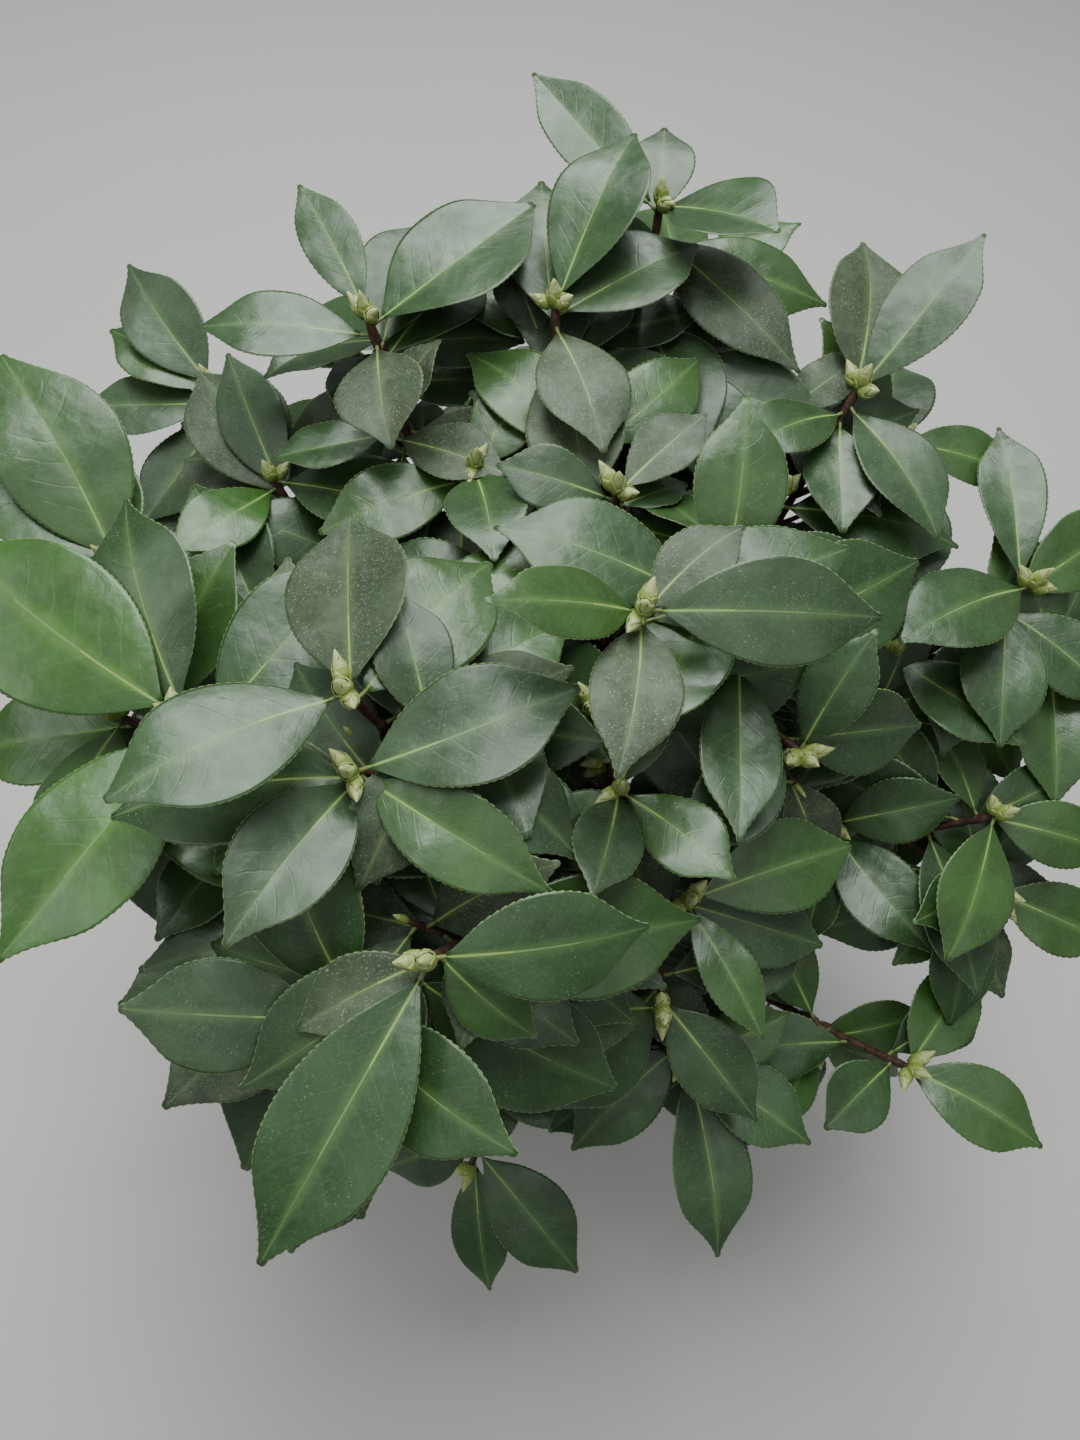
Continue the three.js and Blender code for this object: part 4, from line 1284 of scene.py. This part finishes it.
# Scales of a bud: green at the foot, paler above, with silky hairs at the tip
def bud_finish(name, colour, silk):
    finish = Finish(name, colour, 0.5, specular=0.4)
    hairs = finish.grain(900.0, 3.0, 0.6, (1, 1, 0.2))
    shaded = finish.mix(hairs, dimmed(colour, 0.78), colour)
    blotch = finish.between(finish.grain(210.0), 0.62, 0.75, 0.0, 0.45 * (1 - silk))
    browned = finish.mix(blotch, shaded, (0.2, 0.12, 0.05))
    return finish.set(base_color=browned, normal=finish.bump(hairs, 0.3, 0.0003))


# Bark: long grain along the stem, darker furrows, pale rubbed patches and small corky dots
def bark_finish(name, colour, dark, patch, roughness):
    finish = Finish(name, colour, roughness, specular=0.3)
    grain = finish.grain(240.0, 6.0, 0.65, (1, 1, 0.28))
    shaded = finish.mix(finish.between(grain, 0.35, 0.68), dark, colour)
    worn = finish.between(finish.grain(62.0, 4.0), 0.55, 0.72, 0.0, patch)
    patched = finish.mix(worn, shaded, (0.21, 0.18, 0.14))
    cork = finish.specks(520.0, (1, 1, 0.6))
    dot = finish.between(cork.outputs["Distance"], 0.12, 0.24, 0.75, 0.0)
    dotted = finish.mix(finish.times(dot, patch), patched, (0.30, 0.25, 0.18))
    relief = finish.bump(finish.maths("ADD", grain, finish.times(dot, 0.4)), 0.6, 0.0006)
    return finish.set(base_color=dotted, normal=relief)


# Thin dark plastic, satin, with a film of dust, splashed soil near the foot and fine scratches
def pot_finish(name, colour, foot_splash):
    finish = Finish(name, colour, 0.42, specular=0.45)
    height = finish.node("ShaderNodeSeparateXYZ", {0: finish.place()}).outputs[2]
    film = finish.between(finish.grain(16.0, 6.0, 0.6), 0.38, 0.75, 0.02, 0.2)
    filmed = finish.mix(film, colour, (0.22, 0.2, 0.18))
    low = finish.between(height, 0.0, 0.075, 1.0, 0.0)
    splash = finish.between(finish.grain(70.0, 8.0, 0.75), 0.5, 0.62, 0.0, foot_splash)
    splashed = finish.mix(finish.times(splash, low), filmed, (0.16, 0.085, 0.05))
    scratch = finish.between(finish.grain(28.0, 2.0, 0.5, (1, 1, 9)), 0.66, 0.7, 0.0, 0.12)
    scratched = finish.mix(scratch, splashed, (0.3, 0.3, 0.31))
    gloss = finish.between(finish.grain(22.0, 5.0), 0.35, 0.7, 0.34, 0.58)
    relief = finish.bump(finish.grain(330.0, 2.0), 0.12, 0.0003)
    return finish.set(base_color=scratched, roughness=gloss, normal=relief)


# Crumbly red-brown clay soil
def soil_finish(name, colour, dark):
    finish = Finish(name, colour, 0.92, specular=0.2)
    patches = finish.mix(finish.between(finish.grain(48.0, 5.0), 0.35, 0.68), dark, colour)
    crumbs = finish.grain(420.0, 6.0, 0.7)
    shaded = finish.mix(finish.between(crumbs, 0.3, 0.75), patches, (0.20, 0.082, 0.045))
    grit = finish.specks(300.0)
    dot = finish.between(grit.outputs["Distance"], 0.10, 0.18, 0.8, 0.0)
    rare = finish.maths("GREATER_THAN", finish.grain(140.0, 2.0), 0.62)
    gritty = finish.mix(finish.times(dot, rare), shaded, (0.42, 0.36, 0.28))
    return finish.set(base_color=gritty, normal=finish.bump(crumbs, 0.8, 0.0012))


def floor_finish():
    finish = Finish("Studio_floor", FLOOR_COLOURS[0], 0.8, specular=0.2)
    return finish.set(base_color=finish.mix(finish.grain(3.0), *FLOOR_COLOURS))


# Modelling
def start_clean():
    if bpy.context.object and bpy.context.object.mode != "OBJECT":
        bpy.ops.object.mode_set(mode="OBJECT")
    bpy.ops.object.select_all(action="DESELECT")


def settle(made, name, materials):
    made.name = name
    made.data.name = name
    bpy.ops.object.transform_apply(location=True, rotation=True, scale=True)
    made.data.materials.clear()
    for material in materials:
        made.data.materials.append(material)
    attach(made, "root")
    return made


# Pot: a chain of points spun round the axis, its lip and foot softened by small steps, and drain holes
POT_SPIN_STEPS = 120
DRILL_SIDES = 28


def pot_wall_radius(height):
    return POT_FOOT_RADIUS + (POT_RIM_RADIUS - POT_FOOT_RADIUS) * height / POT_HEIGHT


# Half of the pot's section, from the middle of its foot round the lip to the middle of its floor
def pot_profile():
    band_foot = POT_HEIGHT - BAND_HEIGHT
    lip_radius = POT_RIM_RADIUS + LIP_OVERHANG
    lip_foot = POT_HEIGHT - LIP_THICKNESS
    inner_rim = POT_RIM_RADIUS - POT_WALL
    foot_ring = POT_FOOT_RADIUS - 9
    return [
        (0.0, 0.9),
        (foot_ring - 2, 0.9),
        (foot_ring, 0.0),
        (POT_FOOT_RADIUS - FOOT_CHAMFER, 0.0),
        (POT_FOOT_RADIUS, FOOT_CHAMFER),
        (pot_wall_radius(60), 60.0),
        (pot_wall_radius(band_foot) - BAND_STEP, band_foot - BAND_STEP),
        (pot_wall_radius(band_foot), band_foot),
        (POT_RIM_RADIUS - 0.4, lip_foot - 1.0),
        (POT_RIM_RADIUS + 0.3, lip_foot),
        (lip_radius - 0.5, lip_foot),
        (lip_radius, lip_foot + 0.6),
        (lip_radius, POT_HEIGHT - 0.8),
        (lip_radius - 0.8, POT_HEIGHT),
        (inner_rim + 0.6, POT_HEIGHT),
        (inner_rim, POT_HEIGHT - 0.7),
        (pot_wall_radius(POT_FLOOR) - POT_WALL, POT_FLOOR),
        (0.0, POT_FLOOR),
    ]


def make_pot(plastic, painted_sheen_lip_plastic):
    start_clean()
    profile = pot_profile()
    bpy.ops.mesh.primitive_plane_add(size=2 * MM, location=(0, 0, 0))
    pot = bpy.context.object
    bpy.ops.object.mode_set(mode="EDIT")
    shape = bmesh.from_edit_mesh(pot.data)
    shape.verts.ensure_lookup_table()
    first = shape.verts[0]
    bmesh.ops.delete(shape, geom=[vert for vert in shape.verts if vert is not first], context="VERTS")
    first.co = Vector((profile[0][0] * MM, 0, profile[0][1] * MM))
    first.select = True
    bmesh.update_edit_mesh(pot.data)
    for (radius, height), (next_radius, next_height) in zip(profile, profile[1:]):
        move = ((next_radius - radius) * MM, 0, (next_height - height) * MM)
        bpy.ops.mesh.extrude_region_move(TRANSFORM_OT_translate={"value": move})
    bpy.ops.mesh.select_all(action="SELECT")
    bpy.ops.mesh.spin(steps=POT_SPIN_STEPS, angle=2 * math.pi, center=(0, 0, 0), axis=(0, 0, 1))
    bpy.ops.mesh.select_all(action="SELECT")
    bpy.ops.mesh.remove_doubles(threshold=0.01 * MM)
    bpy.ops.mesh.normals_make_consistent(inside=False)
    bpy.ops.object.mode_set(mode="OBJECT")
    drill_drain_holes(pot)
    settle(pot, "pot_shell", [plastic, painted_sheen_lip_plastic])
    # Faces of the lip take the lighter copy of the plastic: a painted sheen on the lip
    painted_sheen_from = (POT_HEIGHT - LIP_THICKNESS - 0.2) * MM
    for face in pot.data.polygons:
        face.material_index = 1 if face.center.z > painted_sheen_from else 0
    bpy.ops.object.shade_smooth_by_angle(angle=math.radians(32))
    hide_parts("pot")
    return pot


def drill_drain_holes(pot):
    for i in range(DRAIN_COUNT):
        angle = 2 * math.pi * (i + 0.5) / DRAIN_COUNT
        spot = (DRAIN_PITCH * math.cos(angle) * MM, DRAIN_PITCH * math.sin(angle) * MM, 0)
        start_clean()
        bpy.ops.mesh.primitive_cylinder_add(
            vertices=DRILL_SIDES, radius=DRAIN_RADIUS * MM, depth=5 * POT_FLOOR * MM, location=spot
        )
        drill = bpy.context.object
        start_clean()
        bpy.context.view_layer.objects.active = pot
        pot.select_set(True)
        cut = pot.modifiers.new("Drain hole", "BOOLEAN")
        cut.operation = "DIFFERENCE"
        cut.object = drill
        bpy.ops.object.modifier_apply(modifier=cut.name)
        bpy.data.objects.remove(drill)


# Soil: a block that fills the pot, its top worked uneven, with crumbs pressed into it
SOIL_SIDES = 96
SOIL_RINGS = 11
CRUMB_COUNT = 1500
CRUMB_SIZES = (0.7, 2.1)
LUMP_COUNT = 170
LUMP_SIZES = (2.2, 4.8)


def soil_top(x, y):
    radius = math.hypot(x, y)
    edge = POT_RIM_RADIUS - POT_WALL
    sink = SOIL_EDGE_DROP * smooth_step(radius, 0.35 * edge, edge)
    swell = 1.5 * noise.noise(Vector((x * 0.035, y * 0.035, 1.7)))
    rough = 0.7 * noise.noise(Vector((x * 0.12, y * 0.12, 4.1)))
    return SOIL_HEIGHT - sink + (swell + rough) * smooth_step(radius, 8.0, 24.0)


def make_soil(clay, dark_clay):
    start_clean()
    edge_height = SOIL_HEIGHT - SOIL_EDGE_DROP
    foot_height = POT_FLOOR + GAP
    inner = 2 * GAP + POT_WALL
    top_radius = pot_wall_radius(edge_height) - inner
    foot_radius = pot_wall_radius(foot_height) - inner
    spot = (0, 0, foot_height * MM)
    bpy.ops.mesh.primitive_circle_add(
        vertices=SOIL_SIDES, radius=foot_radius * MM, fill_type="NGON", location=spot
    )
    soil = bpy.context.object
    bpy.ops.object.transform_apply(location=True, rotation=True, scale=True)
    bpy.ops.object.mode_set(mode="EDIT")
    bpy.ops.mesh.select_mode(type="FACE")
    bpy.ops.mesh.select_all(action="SELECT")
    rise = (0, 0, (edge_height - foot_height) * MM)
    bpy.ops.mesh.extrude_region_move(TRANSFORM_OT_translate={"value": rise})
    widening = top_radius / foot_radius
    bpy.ops.transform.resize(value=(widening, widening, 1), center_override=(0, 0, edge_height * MM))
    for _ in range(SOIL_RINGS):
        bpy.ops.mesh.inset(thickness=top_radius / (SOIL_RINGS + 1.5) * MM)
    bpy.ops.mesh.poke()
    bpy.ops.mesh.select_all(action="SELECT")
    bpy.ops.mesh.normals_make_consistent(inside=False)
    shape = bmesh.from_edit_mesh(soil.data)
    for vert in shape.verts:
        if vert.co.z > (edge_height - 1) * MM:
            vert.co.z = soil_top(vert.co.x / MM, vert.co.y / MM) * MM
    bmesh.update_edit_mesh(soil.data)
    bpy.ops.object.mode_set(mode="OBJECT")
    settle(soil, "soil_block", [clay, dark_clay])
    bpy.ops.object.shade_smooth()
    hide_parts("soil")
    return soil


# A crumb of soil: a small ball of few faces, pushed out of round
def crumb_shape(level, seed):
    start_clean()
    bpy.ops.mesh.primitive_ico_sphere_add(subdivisions=level, radius=1.0)
    ball = bpy.context.object
    points = np.array([vert.co for vert in ball.data.vertices])
    faces = [tuple(face.vertices) for face in ball.data.polygons]
    push = [1 + 0.42 * noise.noise(Vector(point) * 1.1 + Vector((seed, 0, 0))) for point in points]
    mesh = ball.data
    bpy.data.objects.remove(ball)
    bpy.data.meshes.remove(mesh)
    return points * np.array(push)[:, None], faces


def make_crumbs(clay, dark_clay):
    dice = Dice(CRUMBS_SEED)
    small = [crumb_shape(1, seed) for seed in range(8)]
    large = [crumb_shape(2, seed) for seed in range(8, 14)]
    gathering = Gathering()
    for shapes, count, sizes in ((large, LUMP_COUNT, LUMP_SIZES), (small, CRUMB_COUNT, CRUMB_SIZES)):
        for _ in range(count):
            reach = (POT_RIM_RADIUS - POT_WALL - 6) * math.sqrt(dice.roll())
            angle = dice.between(0, 2 * math.pi)
            x, y = reach * math.cos(angle), reach * math.sin(angle)
            size = dice.between(*sizes) * (1.0 if dice.roll() < 0.8 else 1.25)
            if reach < FLARE_RADIUS + size + 1:
                continue
            points, faces = dice.pick(shapes)
            spin = Matrix.Rotation(dice.between(0, 6.28), 3, "Z")
            tumble = Matrix.Rotation(dice.between(0, 6.28), 3, "X")
            turn = np.array(spin @ tumble)
            squash = np.array([dice.between(0.8, 1.2), dice.between(0.8, 1.2), dice.between(0.6, 0.95)])
            spot = np.array([x, y, soil_top(x, y) + size * dice.between(-0.1, 0.35)])
            gathering.add(points @ turn.T * squash * size + spot, faces, 0 if dice.roll() < 0.7 else 1)
    return gathering.piece("soil_crumbs", [clay, dark_clay], "soil")


def make_camera():
    down, lean = math.radians(CAMERA_LOOKS_DOWN), math.radians(CAMERA_LEANS)
    ahead = Vector((0, math.cos(down), -math.sin(down)))
    level_right = Vector((1, 0, 0))
    level_up = level_right.cross(ahead)
    right = level_right * math.cos(lean) + level_up * math.sin(lean)
    up = level_up * math.cos(lean) - level_right * math.sin(lean)
    camera_data = bpy.data.cameras.new("Camera")
    camera_data.sensor_width = 36.0
    camera_data.lens = camera_data.sensor_width * CAMERA_FOCAL_PIXELS / IMAGE_HEIGHT
    camera_data.clip_start = 0.01
    camera_data.clip_end = 50.0
    camera = bpy.data.objects.new("Camera", camera_data)
    bpy.context.scene.collection.objects.link(camera)
    turn = Matrix((right, up, -ahead)).transposed().to_4x4()
    camera.matrix_world = Matrix.Translation(CAMERA_PLACE) @ turn
    bpy.context.scene.camera = camera


def add_softbox(name, spot, size, power, colour):
    light = bpy.data.lights.new(name, "AREA")
    light.shape = "RECTANGLE"
    light.size, light.size_y = size
    light.energy = power
    light.color = colour
    lamp = bpy.data.objects.new(name, light)
    bpy.context.scene.collection.objects.link(lamp)
    lamp.location = spot
    lamp.rotation_euler = (Vector(CROWN_CENTRE) - Vector(spot)).to_track_quat("-Z", "Y").to_euler()


# Studio: a pale sky, brightest overhead, with strong softboxes above and behind and weak ones in front
# and at the left, over a pale floor
def make_studio():
    world = bpy.data.worlds.new("Studio")
    bpy.context.scene.world = world
    world.use_nodes = True
    nodes, links = world.node_tree.nodes, world.node_tree.links
    direction = nodes.new("ShaderNodeTexCoord")
    parts = nodes.new("ShaderNodeSeparateXYZ")
    ramp = nodes.new("ShaderNodeMapRange")
    ramp.interpolation_type = "SMOOTHSTEP"
    for name, value in zip(("From Min", "From Max", "To Min", "To Max"), (0.0, 1.0, *SKY_STRENGTH)):
        ramp.inputs[name].default_value = value
    links.new(direction.outputs["Generated"], parts.inputs[0])
    links.new(parts.outputs[2], ramp.inputs[0])
    links.new(ramp.outputs[0], nodes["Background"].inputs["Strength"])
    nodes["Background"].inputs["Color"].default_value = (*SKY_COLOUR, 1)
    for name, (spot, size, power, colour) in SOFTBOXES.items():
        add_softbox(name, spot, size, power, colour)
    start_clean()
    bpy.ops.mesh.primitive_plane_add(size=FLOOR_SIZE, location=(0, 0, 0))
    floor = bpy.context.object
    floor.name = "Studio_floor"
    floor.data.materials.append(floor_finish())


def leaf_materials():
    return [
        *[leaf_finish(name, colour, LEAF_DUST[name]) for name, colour in LEAF_COLOURS.items()],
        underside_finish(),
        plain_green_finish("Midrib", MIDRIB_COLOUR, 0.4),
        plain_green_finish("Midrib_middle", MIDRIB_MIDDLE_COLOUR, 0.4),
        plain_green_finish("Midrib_faint", MIDRIB_FAINT_COLOUR, 0.42),
        plain_green_finish("Leaf_margin", MARGIN_COLOUR, 0.5),
        plain_green_finish("Leaf_stalk", STALK_COLOUR, 0.45),
    ]


def bud_materials():
    return [
        bud_finish("Bud_green", BUD_COLOUR, 0),
        bud_finish("Bud_pale", BUD_PALE_COLOUR, 0.4),
        bud_finish("Bud_silk", BUD_SILK_COLOUR, 1),
    ]


def make_pot_and_soil():
    clay = soil_finish("Clay_soil", SOIL_COLOUR, SOIL_DARK_COLOUR)
    dark_clay = soil_finish("Dark_soil", dimmed(SOIL_COLOUR, 0.45), SOIL_DARK_COLOUR)
    # The lip's finish is the pot plastic in a lighter colour, a painted sheen
    make_pot(pot_finish("Pot_plastic", POT_COLOUR, 0.9), pot_finish("Pot_lip_painted_sheen", LIP_PAINTED_SHEEN_COLOUR, 0.0))
    make_soil(clay, dark_clay)
    make_crumbs(clay, dark_clay)


# Trunk and boughs, twigs, and buds each in a piece, and the leaves of each mass in a piece of their own
def make_shrub(plans):
    greens = leaf_materials()
    wood, twigs, buds = Gathering(), Gathering(), Gathering()
    touches = Dice(TOUCHES_SEED)
    add_limb(wood, TRUNK_CURVE, trunk_radius, sides=22, step=2.0, depth=0.16)
    for plan in plans:
        roots = [spot.root for _, spot, _, _ in plan.leaves]
        if plan.bough:
            add_limb(wood, plan.bough, bough_radius(plan.bough), sides=12, step=2.4, depth=0.13)
        add_twig(twigs, plan.stem, DRESSED_STEM_RADII, roots, sides=9)
        for curve in plan.shoots:
            add_twig(twigs, curve, DRESSED_SHOOT_RADII, roots, sides=8)
        for curve in plan.fine:
            add_twig(twigs, curve, FINE_RADII, roots, sides=6)
        for curve in [plan.stem, *plan.shoots]:
            add_bud_cluster(buds, curve.point(1), unit(curve.tangent(1) + 0.9 * LIGHT), touches)
        for curve in plan.fine:
            way = curve.tangent(1)
            length, radius = touches.between(*LEAF_BUD_LENGTHS), touches.between(*LEAF_BUD_RADII)
            add_leaf_bud(buds, curve.point(1) - way, way, length, radius)
        leaves = Gathering()
        for look, spot, axes, is_old in plan.leaves:
            add_blade(leaves, look, spot.root, axes, leaf_colour(plan, spot, is_old, touches))
            add_stalk(leaves, look, spot.root, axes)
        piece = leaves.piece("leaves_" + plan.mass.name, greens, "leaves")
        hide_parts("foliage_" + plan.mass.name)
    bark = bark_finish("Bark", BARK_COLOUR, BARK_DARK_COLOUR, 0.8, 0.8)
    limbs = wood.piece("trunk_and_boughs", [bark], "bark")
    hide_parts("trunk", *["bough_" + plan.mass.name for plan in plans if plan.bough])
    twigs.piece("twigs", [bark_finish("Twig_bark", TWIG_COLOUR, TWIG_DARK_COLOUR, 0.35, 0.6)], "bark")
    buds.piece("buds", bud_materials(), "leaves")


def main():
    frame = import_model()
    make_pot_and_soil()
    plans = grow_limbs()
    spaces = {mass.name: space_of(frame["nodes"]["foliage_" + mass.name]) for mass in MASSES}
    grow_leaves(plans, spaces)
    make_shrub(plans)
    make_camera()
    make_studio()


main()
